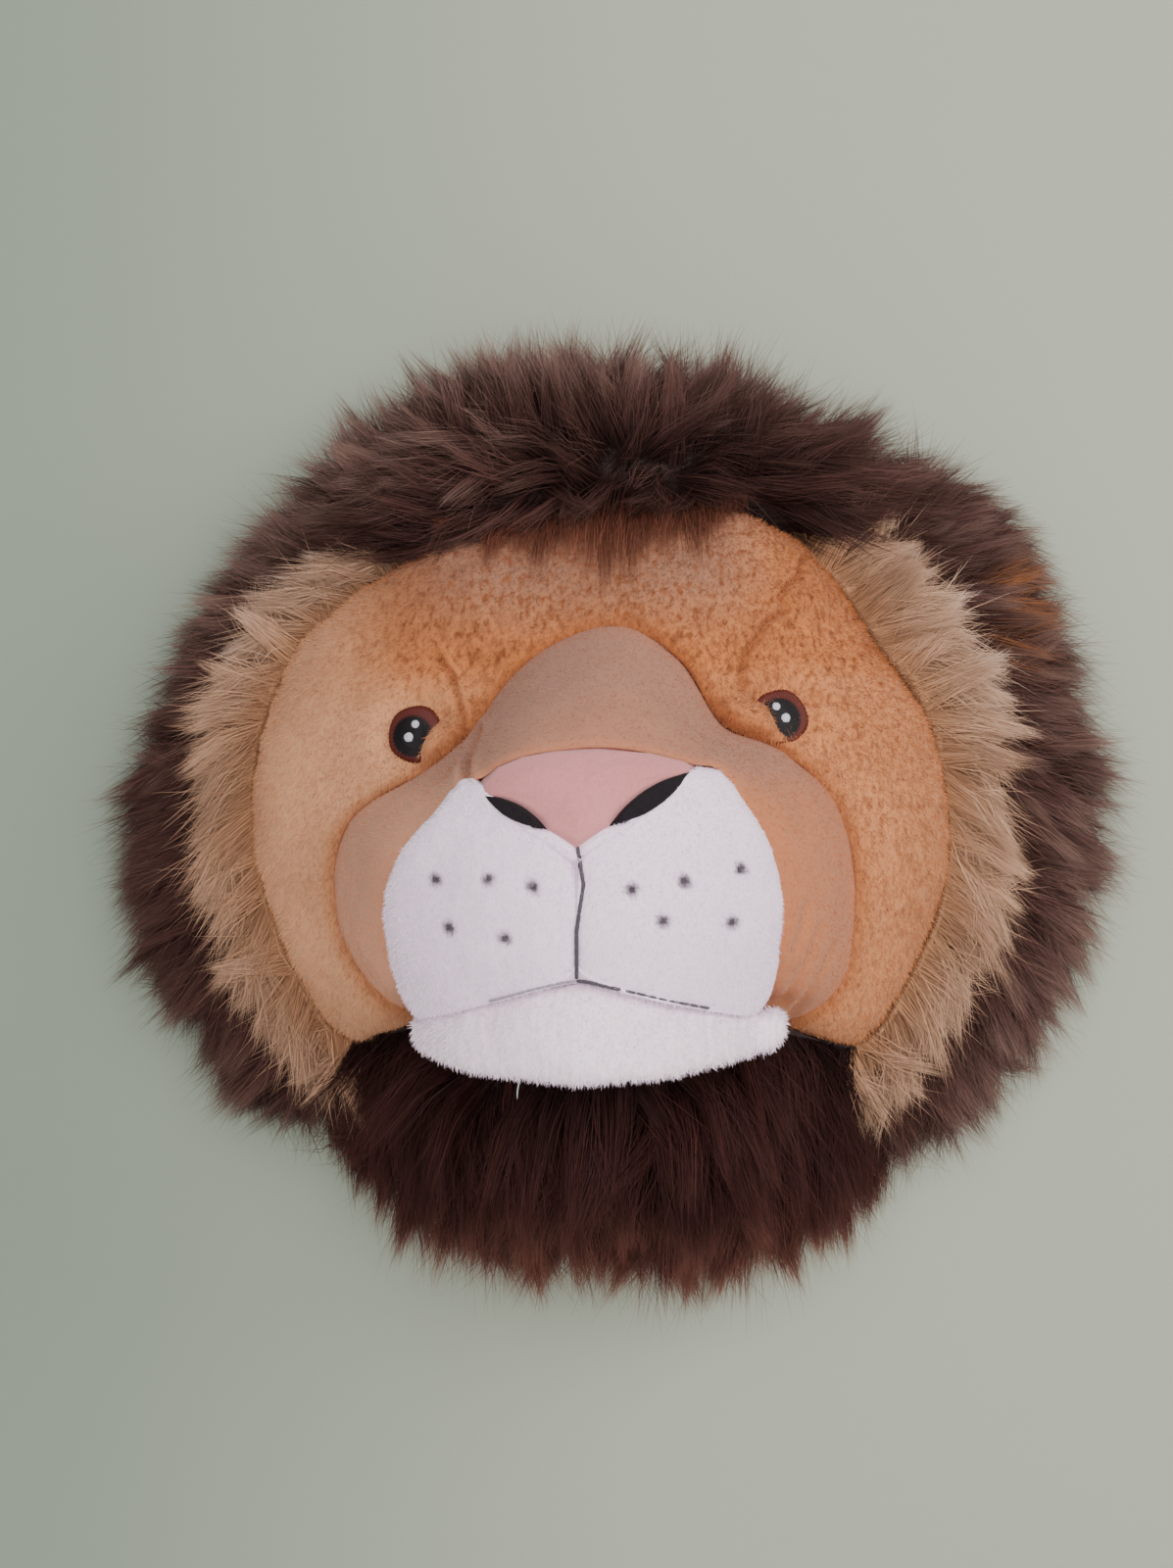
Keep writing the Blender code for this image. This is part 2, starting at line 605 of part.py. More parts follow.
def main():
    make_back_panel()
    face = make_face()
    make_eyes(face)
    make_snout()
    make_muzzle()
    make_nose()
    felt = material("nostril_felt", (0.02, 0.014, 0.017), 0.95)
    make_nostril("nostril_left", LEFT_UP, LEFT_DOWN, felt)
    make_nostril("nostril_right", RIGHT_UP, RIGHT_DOWN, felt)
    make_lower_lip()
    tan = material("ruff_fur", (0.36, 0.22, 0.145), 0.85)
    make_ruff("cheek_ruff_left", *RUFF_LEFT, tan)
    make_ruff("cheek_ruff_right", *RUFF_RIGHT, tan)
    make_mane()
    make_beard()


main()
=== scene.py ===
# %% [markdown]
# # A stuffed lion head for the wall
#
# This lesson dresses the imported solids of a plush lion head, so that they look like sewn cloth and fur. The
# real head is cut from seven kinds of cloth: brown and tan fur, orange plush, taupe velour, white and pink
# short pile, and black felt. Each panel gets a finer mesh in the place of its solid, and the furs get real
# strands. We start by loading the frame, because every later piece is placed by the same millimetres as the
# solids.

# %% Load the fixed frame
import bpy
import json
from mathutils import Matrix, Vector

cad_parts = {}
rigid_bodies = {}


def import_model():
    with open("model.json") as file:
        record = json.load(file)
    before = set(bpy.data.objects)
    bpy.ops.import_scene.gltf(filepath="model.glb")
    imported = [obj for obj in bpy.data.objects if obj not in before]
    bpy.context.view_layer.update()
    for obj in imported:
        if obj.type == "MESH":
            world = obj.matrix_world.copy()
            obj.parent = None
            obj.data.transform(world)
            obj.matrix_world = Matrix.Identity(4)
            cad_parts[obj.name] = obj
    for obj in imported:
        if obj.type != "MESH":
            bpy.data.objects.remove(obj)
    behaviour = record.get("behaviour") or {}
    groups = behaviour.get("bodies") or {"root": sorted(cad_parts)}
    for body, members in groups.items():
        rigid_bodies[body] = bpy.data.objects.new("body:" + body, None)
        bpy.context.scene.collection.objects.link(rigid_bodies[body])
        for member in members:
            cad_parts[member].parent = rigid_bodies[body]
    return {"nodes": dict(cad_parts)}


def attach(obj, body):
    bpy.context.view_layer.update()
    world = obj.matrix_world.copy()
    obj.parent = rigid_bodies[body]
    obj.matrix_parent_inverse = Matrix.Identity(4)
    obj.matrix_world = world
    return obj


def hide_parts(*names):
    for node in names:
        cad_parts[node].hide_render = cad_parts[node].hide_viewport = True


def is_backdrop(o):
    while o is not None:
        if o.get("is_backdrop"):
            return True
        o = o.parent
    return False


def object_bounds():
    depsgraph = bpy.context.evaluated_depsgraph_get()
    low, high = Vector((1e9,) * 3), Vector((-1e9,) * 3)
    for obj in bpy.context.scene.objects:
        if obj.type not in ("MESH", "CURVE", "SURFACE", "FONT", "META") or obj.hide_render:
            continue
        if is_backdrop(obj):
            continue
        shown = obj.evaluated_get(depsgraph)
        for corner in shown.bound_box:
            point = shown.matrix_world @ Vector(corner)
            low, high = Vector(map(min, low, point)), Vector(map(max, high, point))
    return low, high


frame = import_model()
cad_low, cad_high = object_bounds()
print("solids loaded:", len(frame["nodes"]))

# %% [markdown]
# ## Numbers that the whole head shares
#
# Seen from the front, the panels lie side by side round the middle of the head. So each seam is an outline
# of (angle, radius) pairs, where 0 degrees is the viewer's right and 90 is up, and a skin is a height over
# the wall. Drawing each panel by hand would also work, but outlines in numbers keep the seams shared, as a
# pattern cutter does.

# %% Seams and outlines, in millimetres
import json
import bmesh
import bpy
import numpy as np
from mathutils import Vector

MM = 0.001
BODY_BACK = 6.5
FACE_EDGE = 66.0
BROW_EDGE = 97.0
FACE_TOP = 132.0
CROWN = (50.0, 134.0)
MUZZLE_SEAT = 150.0
LIP_SEAT = 154.0
BACK_RADIUS = 122.0
MANE_SPAN = (-46.5, 226.0)

FACE_OUTLINE = ((0, 128), (18, 124), (31, 119), (45, 121), (56, 121), (66, 118), (76, 111), (100, 106),
                (115, 110), (127, 114), (141, 123), (152, 130), (171, 133), (194, 132), (212, 132),
                (222, 130), (227, 119), (232, 104), (238, 94), (250, 89), (270, 87), (290, 89), (302, 95),
                (308, 105), (313, 120), (318, 130), (330, 130), (346, 130))
FUR_LINE = ((0, 149), (8, 152), (14, 160), (30, 158), (47, 150), (60, 140), (128, 132), (136, 140),
            (149, 157), (165, 162), (182, 155), (200, 157), (213, 153), (226, 152), (250, 145), (300, 145),
            (313, 153), (331, 150), (346, 158))
MANE_TIPS = ((3, 195), (13, 192), (23, 195), (33, 199), (43, 191), (52, 187), (62, 178), (72, 180),
             (81, 178), (91, 184), (100, 183), (110, 185), (119, 182), (129, 184), (138, 180), (148, 181),
             (158, 184), (167, 186), (177, 192), (187, 199), (197, 196), (207, 190), (217, 190),
             (226, 172), (238, 170), (300, 172), (313, 181), (322, 189), (332, 192), (342, 193),
             (353, 194))
BEARD_TIPS = ((-115, -120), (-104, -143), (-82, -166), (-60, -177), (-36, -185), (0, -184), (33, -187),
              (68, -182), (97, -163), (111, -144), (120, -127))
SNOUT_OUTLINE = ((4, 81), (17, 68), (35, 53), (64, 61), (84, 64.5), (111, 58), (144, 51), (158, 55),
                 (166, 61), (172, 69), (182, 88), (195, 98), (208, 103), (222, 102), (232, 94), (244, 87),
                 (270, 84), (292, 86), (306, 92), (316, 103), (326, 105), (335, 99), (351, 90))
print("outlines:", len(FACE_OUTLINE), "keys for the face and", len(MANE_TIPS), "for the mane")

# %% Outlines of muzzle, nose, nostrils and lip
BLOCK_RIM = ((5.4, 21.7, 216), (21.6, 19.9, 212.5), (32.9, 17, 208), (41.4, 14.6, 203.5), (49.6, 2.8, 201),
             (57.7, -11.9, 195), (61.6, -27.3, 187.5), (61.4, -42.7, 180.5), (59, -54.5, 170),
             (56.5, -61.5, 152), (48, -70.5, 152), (32, -77, 152), (0, -80, 152), (-32, -77.5, 152),
             (-51, -71.5, 152), (-59.5, -64, 152), (-63.2, -56.5, 170), (-65.8, -43.3, 180.5),
             (-65.3, -27.6, 188), (-58, -11.9, 200), (-46, 0.8, 208.5), (-39.2, 9.4, 210),
             (-34.1, 11, 212.5), (-30.1, 13.3, 213.5), (-26.5, 15.8, 214.5), (-19.6, 18.5, 215.5),
             (-10.3, 20.5, 216))
NOSE_TOP = ((33.2, 15.9), (21.7, 19.2), (5.5, 20.8), (-10.2, 19.7), (-19.6, 17.8), (-26.9, 14.6),
            (-31.4, 9.6))
NOSE_TIP = (-1.6, -8.8)
NOSE_MIDDLE = (1.0, 8.5)
NOSTRIL_LEFT = ((-31.4, 6.8), (-10.1, -4.2), 3.0)
NOSTRIL_RIGHT = ((33.6, 14.4), (7.7, -3.3), 3.7)
CLEFT_X = -1.8
MOUTH = ((-58, -66.0), (-49.7, -63.7), (-28, -57.0), (-3, -50.2), (8.5, -52.2), (31.2, -58.3),
         (49.4, -63.4), (55, -64.6))
LIP_BELOW = ((65.8, -70.5), (64.0, -74.8), (46.3, -78.2), (24.8, -80.4), (1.6, -81.6), (-24.4, -80.4),
             (-46, -78.6), (-57, -76.6), (-61, -72.5))
EYES = {"eye_left": (-63.7, 26.9), "eye_right": (63.5, 32.6)}
EYE_RADIUS = 9.6
print("rim keys:", len(BLOCK_RIM))

# %% Small helpers for numbers and lines


def lerp(a, b, share):
    return a + (b - a) * share


def smooth(share):
    share = np.clip(share, 0.0, 1.0)
    return share * share * (3 - 2 * share)


def bell(away, width):
    """1 in the middle, 0.37 at width, and soft to 0 past it."""
    return np.exp(-(away / width) ** 2)


def between(angle, low, high, soft):
    """1 inside the range of angles and 0 outside it, with a soft change as wide as soft."""
    return smooth((angle - low) / soft + 0.5) * smooth((high - angle) / soft + 0.5)


def hermite(p0, p1, m0, m1, t):
    t2, t3 = t * t, t * t * t
    return (2 * t3 - 3 * t2 + 1) * p0 + (t3 - 2 * t2 + t) * m0 + (3 * t2 - 2 * t3) * p1 + (t3 - t2) * m1


def on_line(keys_x, keys_y, i, x):
    """The smooth line through four neighbouring keys, between the second and the third."""
    x0, x1, x2, x3 = (keys_x[i + k] for k in (-1, 0, 1, 2))
    y0, y1, y2, y3 = (keys_y[i + k] for k in (-1, 0, 1, 2))
    width = x2 - x1
    return hermite(y1, y2, (y2 - y0) / (x2 - x0) * width, (y3 - y1) / (x3 - x1) * width, (x - x1) / width)


def around(keys, angle):
    """The radius at each angle, on a smooth closed line through the keys."""
    spots, radii = np.array(keys, float).T
    angle = np.asarray(angle, float) % 360
    angle = np.where(angle < spots[0], angle + 360, angle)
    spots = np.concatenate((spots[-1:] - 360, spots, spots[:2] + 360))
    radii = np.concatenate((radii[-1:], radii, radii[:2]))
    i = np.clip(np.searchsorted(spots, angle, side="right") - 1, 1, len(spots) - 3)
    return on_line(spots, radii, i, angle)


def along(keys, x):
    """The second value at each x, on a smooth open line through the keys."""
    spots, values = np.array(sorted(keys), float).T
    x = np.clip(x, spots[0], spots[-1])
    spots = np.concatenate((2 * spots[:1] - spots[1:2], spots, 2 * spots[-1:] - spots[-2:-1]))
    values = np.concatenate((values[:1], values, values[-1:]))
    i = np.clip(np.searchsorted(spots, x, side="right") - 1, 1, len(spots) - 3)
    return on_line(spots, values, i, x)


print("mane reaches", round(float(around(MANE_TIPS, 90)), 1), "mm at the top")

# %% Points, closed lines and soft random values


def polar(angle, radius):
    turn = np.radians(angle)
    return radius * np.cos(turn), radius * np.sin(turn)


def seen(places):
    """The angle and the radius at which places show from the front."""
    return np.degrees(np.arctan2(places[:, 2], places[:, 0])), np.hypot(places[:, 0], places[:, 2])


def spot(x, z, height):
    """Places on the head in millimetres, from x, z and the height over the wall."""
    x, z, height = np.broadcast_arrays(x, z, height)
    return np.stack((x, -height, z), axis=-1).astype(float)


def unit(vectors):
    return vectors / np.maximum(np.linalg.norm(vectors, axis=-1, keepdims=True), 1e-9)


def dot(a, b):
    return np.sum(a * b, axis=-1, keepdims=True)


def curved(keys, steps=10):
    """A closed smooth line through the keys, with every value of a key carried along."""
    keys = np.array(keys, float)
    n = len(keys)
    made = []
    for i in range(n):
        k0, k1, k2, k3 = keys[i - 1], keys[i], keys[(i + 1) % n], keys[(i + 2) % n]
        made += [hermite(k1, k2, (k2 - k0) / 2, (k3 - k1) / 2, s / steps) for s in range(steps)]
    return np.array(made)


def resampled(line, count, centre):
    """A closed line cut by rays from the centre at even steps of angle, with every value carried along."""
    end = np.array(line, float)
    start = np.roll(end, 1, axis=0)
    way = 2 * np.pi * np.arange(count)[:, None] / count
    ax, az = start[:, 0] - centre[0], start[:, 1] - centre[1]
    ex, ez = end[:, 0] - start[:, 0], end[:, 1] - start[:, 1]
    cross = np.cos(way) * ez - np.sin(way) * ex
    cross = np.where(abs(cross) < 1e-9, 1e-9, cross)
    reach = (ax * ez - az * ex) / cross
    share = (ax * np.sin(way) - az * np.cos(way)) / cross
    hit = (reach > 0) & (share > -1e-9) & (share < 1 + 1e-9)
    best = np.argmax(np.where(hit, reach, -1.0), axis=1)
    part = share[np.arange(count), best][:, None]
    return lerp(start[best], end[best], part)


def grown(line, by):
    """A closed line of (x, z) moved outwards, or inwards where by is negative."""
    line = np.array(line, float)
    before, after = np.roll(line, 1, axis=0), np.roll(line, -1, axis=0)
    area = np.sum(before[:, 0] * line[:, 1] - line[:, 0] * before[:, 1])
    way = unit(after - before) * np.sign(area)
    return line + by * np.stack((way[:, 1], -way[:, 0]), axis=1)


def cloud(places, size, seed=0):
    """Soft random values from -1 to 1 over places in millimetres, in lumps about size wide."""
    cells = np.asarray(places) / size + seed * 17.31
    low = np.floor(cells)
    share = smooth(cells - low)
    total = 0.0
    for corner in np.ndindex(2, 2, 2):
        value = np.sin((low + corner) @ np.array((127.1, 311.7, 74.7))) * 43758.5453
        weight = np.prod(np.where(corner, share, 1 - share), axis=-1)
        total = total + weight * (2 * (value - np.floor(value)) - 1)
    return total


print("cloud at the middle:", round(float(cloud(np.zeros(3), 5.0, 3)), 3))

# %% [markdown]
# ## Turning rings into cloth
#
# A stuffed panel is a closed bag, so every skin here is made of rings of corners, one joined to the next,
# with both ends closed. Subdividing the solid would round it, but rings let us push single corners in and
# out along the skin's own direction, which is how seams, gathers and pile are raised here.

# %% Rings to a closed mesh


def put_in(name, data):
    """A new object of the scene that holds a mesh, a lamp or a camera."""
    made = bpy.data.objects.new(name, data)
    bpy.context.scene.collection.objects.link(made)
    return made


def add_mesh(name, corners, faces):
    mesh = bpy.data.meshes.new(name)
    mesh.from_pydata(np.asarray(corners) * MM, [], faces)
    mesh.shade_smooth()
    return put_in(name, mesh)


def skin(name, rings):
    """A closed mesh from closed rings of equal length, in millimetres, with its faces turned outwards."""
    rings = np.asarray(rings, float)
    count, n = rings.shape[:2]
    i = np.arange(n)
    j = (i + 1) % n
    faces = []
    for r in range(count - 1):
        faces += np.stack((r * n + i, r * n + j, (r + 1) * n + j, (r + 1) * n + i), axis=1).tolist()
    ends = np.array([rings[0].mean(axis=0), rings[-1].mean(axis=0)])
    for r, middle in ((0, count * n), (count - 1, count * n + 1)):
        faces += np.stack((r * n + i, r * n + j, np.full(n, middle)), axis=1).tolist()
    made = add_mesh(name, np.concatenate((rings.reshape(-1, 3), ends)), faces)
    shape = bmesh.new()
    shape.from_mesh(made.data)
    bmesh.ops.recalc_face_normals(shape, faces=shape.faces)
    shape.to_mesh(made.data)
    shape.free()
    return made


def outward(rings):
    """The direction out of the skin at each corner of closed rings."""
    across = np.roll(rings, -1, axis=1) - np.roll(rings, 1, axis=1)
    out = unit(np.cross(across, np.gradient(rings, axis=0)))
    side = np.sum(out * (rings - rings.mean(axis=(0, 1))))
    return out if side > 0 else -out


def push(rings, amount):
    """The rings moved out of their skin by an amount in millimetres at each corner."""
    return rings + outward(rings) * amount[..., None]


def paint(made, name, values):
    """Values of each corner kept on the mesh as a colour that its material can read."""
    values = np.asarray(values, float).reshape(-1, 4)
    spare = len(made.data.vertices) - len(values)
    values = np.concatenate((values, np.repeat(values[-1:], spare, axis=0)))
    layer = made.data.color_attributes.new(name, "FLOAT_COLOR", "POINT")
    layer.data.foreach_set("color", values.ravel())


def unwrap(made, count, own, corner_of=None):
    """Gives each of count hairs a cell of the UV grid, with its corners at own places in the cell."""
    columns = int(np.ceil(np.sqrt(count)))
    cell = np.stack((np.arange(count) % columns, np.arange(count) // columns), axis=-1)[:, None]
    flat = ((cell + np.array(own)[None]) / columns).reshape(-1, 2)
    layer = made.data.uv_layers.new(name="OFBake")
    layer.data.foreach_set("uv", (flat if corner_of is None else flat[corner_of]).ravel())


def nap(name, form, count, length, width, seed, lean=0.8, carry=None):
    """Loose hairs of a short pile, brushed down, in millimetres. Each is one sliver rooted in a skin."""
    rng = np.random.default_rng(seed)
    rows, n = form.shape[:2]
    out = outward(form)
    side_a, side_b = np.roll(form, -1, axis=1) - form, np.gradient(form, axis=0)
    area = np.linalg.norm(np.cross(side_a, side_b), axis=-1)
    area[-1] = 0
    cell = rng.choice(rows * n, count, p=(area / area.sum()).ravel())
    row, column = np.divmod(cell, n)
    a, b = rng.random((count, 1)), rng.random((count, 1))
    beside, below = (column + 1) % n, np.minimum(row + 1, rows - 1)
    upper = lerp(form[row, column], form[row, beside], a)
    lower = lerp(form[below, column], form[below, beside], a)
    root = lerp(upper, lower, b)
    normal = out[row, column]
    down = np.array((0.0, 0.0, -1.0))
    flat = unit(down - normal * dot(down, normal) + rng.normal(0, 0.45, (count, 3)))
    ahead = unit(normal + flat * lean * rng.uniform(0.6, 1.3, (count, 1)))
    across = unit(np.cross(ahead, rng.normal(0, 1, (count, 3)))) * width / 2
    start = root - ahead * 0.3
    tip = root + ahead * length * rng.uniform(0.6, 1.2, (count, 1))
    corners = np.stack((start - across, start + across, tip), axis=1).reshape(-1, 3)
    made = add_mesh(name, corners, np.arange(3 * count).reshape(-1, 3))
    if carry is not None:
        paint(made, carry[0], np.repeat(carry[1][row, column], 3, axis=0))
    unwrap(made, count, ((0.1, 0.1), (0.9, 0.1), (0.5, 0.9)))
    return made


def fit(made, surface, nodes=()):
    """Gives a piece its material, hangs it on the root body, and hides the solids that it replaces."""
    made.data.materials.append(surface)
    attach(made, "root")
    if nodes:
        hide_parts(*nodes)
    sides = sum(len(face.vertices) - 2 for face in made.data.polygons)
    print(made.name, "has", sides, "triangles")
    return made


# %% [markdown]
# ## Effects that several cloths share
#
# Short pile, drifting dye and strands of fur appear on more than one panel. Each is a node group with named
# sockets, placed in every material with its own values. The shader itself stays in the material, where its
# sheen and roughness can be set for that cloth.

# %% Helpers for node groups


def new_group(name, inputs, outputs):
    tree = bpy.data.node_groups.new(name, "ShaderNodeTree")
    for label, kind, value in inputs:
        socket = tree.interface.new_socket(label, in_out="INPUT", socket_type=kind)
        socket.default_value = value
    for label, kind in outputs:
        tree.interface.new_socket(label, in_out="OUTPUT", socket_type=kind)
    return tree, tree.nodes.new("NodeGroupInput"), tree.nodes.new("NodeGroupOutput")


def feed(tree, socket, value):
    """Links a socket to another one, or sets it to a number or a colour."""
    if isinstance(value, bpy.types.NodeSocket):
        tree.links.new(value, socket)
    else:
        socket.default_value = value


def math_node(tree, kind, first, *others):
    node = tree.nodes.new("ShaderNodeMath")
    node.operation = kind
    for socket, value in zip(node.inputs, (first, *others)):
        feed(tree, socket, value)
    return node.outputs[0]


def mix_node(tree, share, first, second, blend="MIX"):
    node = tree.nodes.new("ShaderNodeMix")
    node.data_type = "RGBA"
    node.blend_type = blend
    node.clamp_factor = True
    for place, value in ((0, share), (6, first), (7, second)):
        feed(tree, node.inputs[place], value)
    return node.outputs[2]


def noise_node(tree, places, size, detail=2.0, roughness=0.5):
    """Noise in lumps about size millimetres wide, where places are in millimetres."""
    node = tree.nodes.new("ShaderNodeTexNoise")
    tree.links.new(places, node.inputs["Vector"])
    scale = math_node(tree, "DIVIDE", 1.0, size)
    tree.links.new(scale, node.inputs["Scale"])
    node.inputs["Detail"].default_value = detail
    node.inputs["Roughness"].default_value = roughness
    return node.outputs["Fac"]


def in_millimetres(tree, stretch=(1.0, 1.0, 1.0)):
    """Places on the piece in millimetres, counted from the middle of the head's back."""
    where = tree.nodes.new("ShaderNodeTexCoord")
    node = tree.nodes.new("ShaderNodeVectorMath")
    node.operation = "MULTIPLY"
    tree.links.new(where.outputs["Object"], node.inputs[0])
    node.inputs[1].default_value = [1000.0 * s for s in stretch]
    return node.outputs[0]


def step_node(tree, value, low, high):
    """0 under low, 1 over high, and soft between them."""
    node = tree.nodes.new("ShaderNodeMapRange")
    node.interpolation_type = "SMOOTHSTEP"
    for label, given in (("Value", value), ("From Min", low), ("From Max", high)):
        feed(tree, node.inputs[label], given)
    return node.outputs[0]


def scaled(tree, colour, by):
    """A colour made lighter or darker by a factor."""
    node = tree.nodes.new("ShaderNodeVectorMath")
    node.operation = "SCALE"
    feed(tree, node.inputs[0], colour)
    feed(tree, node.inputs["Scale"], by)
    return node.outputs[0]


def on_corners(tree, name):
    """What the mesh's corners carry under a name: three values, and a fourth as alpha."""
    node = tree.nodes.new("ShaderNodeAttribute")
    node.attribute_name = name
    parts = tree.nodes.new("ShaderNodeSeparateColor")
    tree.links.new(node.outputs["Color"], parts.inputs[0])
    return *parts.outputs, node.outputs["Alpha"]


# %% The short pile group
def build_short_pile():
    """Colour and height of a short pile: fine tufts, painted shade in the pits between them, slow drift of
    dye.
    """
    tree, given, out = new_group(
        "Short pile",
        (("Colour", "NodeSocketColor", (0.5, 0.5, 0.5, 1)),
         ("Pit Colour", "NodeSocketColor", (0.2, 0.2, 0.2, 1)),
         ("Drift Colour", "NodeSocketColor", (0.5, 0.4, 0.4, 1)), ("Tuft Size", "NodeSocketFloat", 2.0),
         ("Pits", "NodeSocketFloat", 0.4), ("Drift", "NodeSocketFloat", 0.4)),
        (("Colour", "NodeSocketColor"), ("Height", "NodeSocketFloat")))
    places = in_millimetres(tree)
    tufts = noise_node(tree, places, given.outputs["Tuft Size"], 3.0, 0.6)
    dashes = noise_node(tree, in_millimetres(tree, (1.0, 1.0, 0.55)), given.outputs["Tuft Size"], 1.0, 0.4)
    fine = noise_node(tree, places, 0.55, 2.0, 0.6)
    slow = noise_node(tree, places, 34.0, 2.0, 0.5)
    # Pits and hollows between the tufts get the pit colour: painted shade.
    pits = math_node(tree, "MULTIPLY", step_node(tree, dashes, 0.48, 0.74), given.outputs["Pits"])
    soft = math_node(tree, "MULTIPLY", step_node(tree, tufts, 0.4, 0.75), 0.5)
    hollow = math_node(tree, "MULTIPLY", soft, given.outputs["Pits"])
    drift = math_node(tree, "MULTIPLY", step_node(tree, slow, 0.35, 0.65), given.outputs["Drift"])
    colour = mix_node(tree, drift, given.outputs["Colour"], given.outputs["Drift Colour"])
    colour = mix_node(tree, math_node(tree, "ADD", pits, hollow), colour, given.outputs["Pit Colour"])
    grain = math_node(tree, "MULTIPLY_ADD", fine, 0.35, 0.825)
    tree.links.new(scaled(tree, colour, grain), out.inputs["Colour"])
    height = math_node(tree, "ADD", math_node(tree, "MULTIPLY", fine, 0.5),
                       math_node(tree, "MULTIPLY", dashes, -0.8))
    tree.links.new(height, out.inputs["Height"])
    return tree


short_pile = build_short_pile()
print("short pile group has", len(short_pile.nodes), "nodes")

# %% The fur strand group
def build_strand_tone():
    """Colour of one strand, from what the mesh carries: how far along, and how light strand and lock are."""
    tree, given, out = new_group(
        "Strand tone",
        (("Root", "NodeSocketColor", (0.02, 0.01, 0.01, 1)),
         ("Middle", "NodeSocketColor", (0.05, 0.03, 0.02, 1)),
         ("Tip", "NodeSocketColor", (0.1, 0.06, 0.05, 1)), ("Patch", "NodeSocketColor", (0.3, 0.12, 0.05, 1)),
         ("Strand Spread", "NodeSocketFloat", 0.4), ("Lock Spread", "NodeSocketFloat", 0.4)),
        (("Colour", "NodeSocketColor"),))

    def spread(value, label):
        return math_node(tree, "MULTIPLY", math_node(tree, "SUBTRACT", value, 0.5), given.outputs[label])

    run, own, lock, plain = on_corners(tree, "strand")
    # The root colour is darker than middle and tip: painted shade, since little light reaches the base.
    first = mix_node(tree, step_node(tree, run, 0.0, 0.55), given.outputs["Root"], given.outputs["Middle"])
    colour = mix_node(tree, step_node(tree, run, 0.5, 1.0), first, given.outputs["Tip"])
    own_light, lock_light = spread(own, "Strand Spread"), spread(lock, "Lock Spread")
    light = math_node(tree, "ADD", math_node(tree, "ADD", own_light, lock_light), 1.0)
    colour = mix_node(tree, plain, given.outputs["Patch"], colour)
    tree.links.new(scaled(tree, colour, light), out.inputs["Colour"])
    return tree


strand_tone = build_strand_tone()
print("strand tone group has", len(strand_tone.nodes), "nodes")

# %% Materials made from the groups


def start_material(name, roughness, sheen, sheen_tint=(1.0, 1.0, 1.0)):
    made = bpy.data.materials.new(name)
    made.use_nodes = True
    shader = made.node_tree.nodes["Principled BSDF"]
    shader.inputs["Roughness"].default_value = roughness
    shader.inputs["Sheen Weight"].default_value = sheen
    shader.inputs["Sheen Roughness"].default_value = 0.55
    shader.inputs["Sheen Tint"].default_value = (*sheen_tint, 1)
    shader.inputs["Specular IOR Level"].default_value = 0.2
    return made, made.node_tree, shader


def place_group(tree, group, values):
    node = tree.nodes.new("ShaderNodeGroup")
    node.node_tree = group
    for label, value in values.items():
        node.inputs[label].default_value = (*value, 1) if isinstance(value, tuple) else value
    return node


def bump_node(tree, height, strength, distance_mm, shader):
    bump = tree.nodes.new("ShaderNodeBump")
    bump.inputs["Strength"].default_value = strength
    bump.inputs["Distance"].default_value = distance_mm * MM
    tree.links.new(height, bump.inputs["Height"])
    tree.links.new(bump.outputs[0], shader.inputs["Normal"])


def pile_material(name, colour, pit, drift_colour, tuft, pits, drift, roughness=0.9, sheen=0.35, bump=0.6,
                  depth=0.5):
    made, tree, shader = start_material(name, roughness, sheen)
    pile = place_group(tree, short_pile, {"Colour": colour, "Pit Colour": pit, "Drift Colour": drift_colour,
                                          "Tuft Size": tuft, "Pits": pits, "Drift": drift})
    tree.links.new(pile.outputs["Colour"], shader.inputs["Base Color"])
    bump_node(tree, pile.outputs["Height"], bump, depth, shader)
    return made


def fur_material(name, root, middle, tip, patch=(0.3, 0.12, 0.05), own=0.5, lock=0.5, sheen=0.1):
    made, tree, shader = start_material(name, 0.65, sheen, tip)
    shader.inputs["Specular IOR Level"].default_value = 0.12
    tone = place_group(tree, strand_tone, {"Root": root, "Middle": middle, "Tip": tip, "Patch": patch,
                                           "Strand Spread": own, "Lock Spread": lock})
    tree.links.new(tone.outputs["Colour"], shader.inputs["Base Color"])
    return made


print("material helpers ready")

# %% [markdown]
# ## Face
#
# The face is one dome of orange plush with a short, curled pile. Its rim is sewn to the furs and its middle
# to the snout, and darts are taken in beside the eyes. A displacement texture could raise the pile, but
# here the corners are pushed in code, so that the darts, the seams and the curls are one real surface that
# also shows in the outline. Over it lies a nap: sixty thousand slivers, each one hair of the pile, brushed
# down. They break the light as cloth does, and they take their colour from the same marks as the skin that
# they stand on.

# %% The face's dome and its darts
DART_RIGHT = ((73.7, 92.0), (72.0, 89.3), (71.6, 84.1), (67.2, 80.1), (63.8, 75.7), (66.2, 70.9),
              (60.1, 67.5), (56.3, 62.1), (51.6, 55.6), (49.2, 47.7), (50.2, 42.3))
DART_LEFT = ((-57.2, 55.3), (-51.7, 47.4), (-47.9, 36.7), (-45.5, 28.4))
CREASE_RIGHT = ((71.6, 37.8), (81.8, 38.4))
UNDER_RIGHT = ((59.7, 22.1), (67.2, 19.4))


def face_edge(angle):
    return lerp(FACE_EDGE, BROW_EDGE, between(angle % 360, *CROWN, 30))


def face_skin(x, z):
    """How far the face's dome stands from the wall."""
    angle = np.degrees(np.arctan2(z, x))
    share = np.minimum(np.hypot(x, z) / around(FACE_OUTLINE, angle), 1.0)
    edge = face_edge(angle)
    return edge + (FACE_TOP - edge) * np.sqrt(np.maximum(1 - share ** 3.0, 0.0))


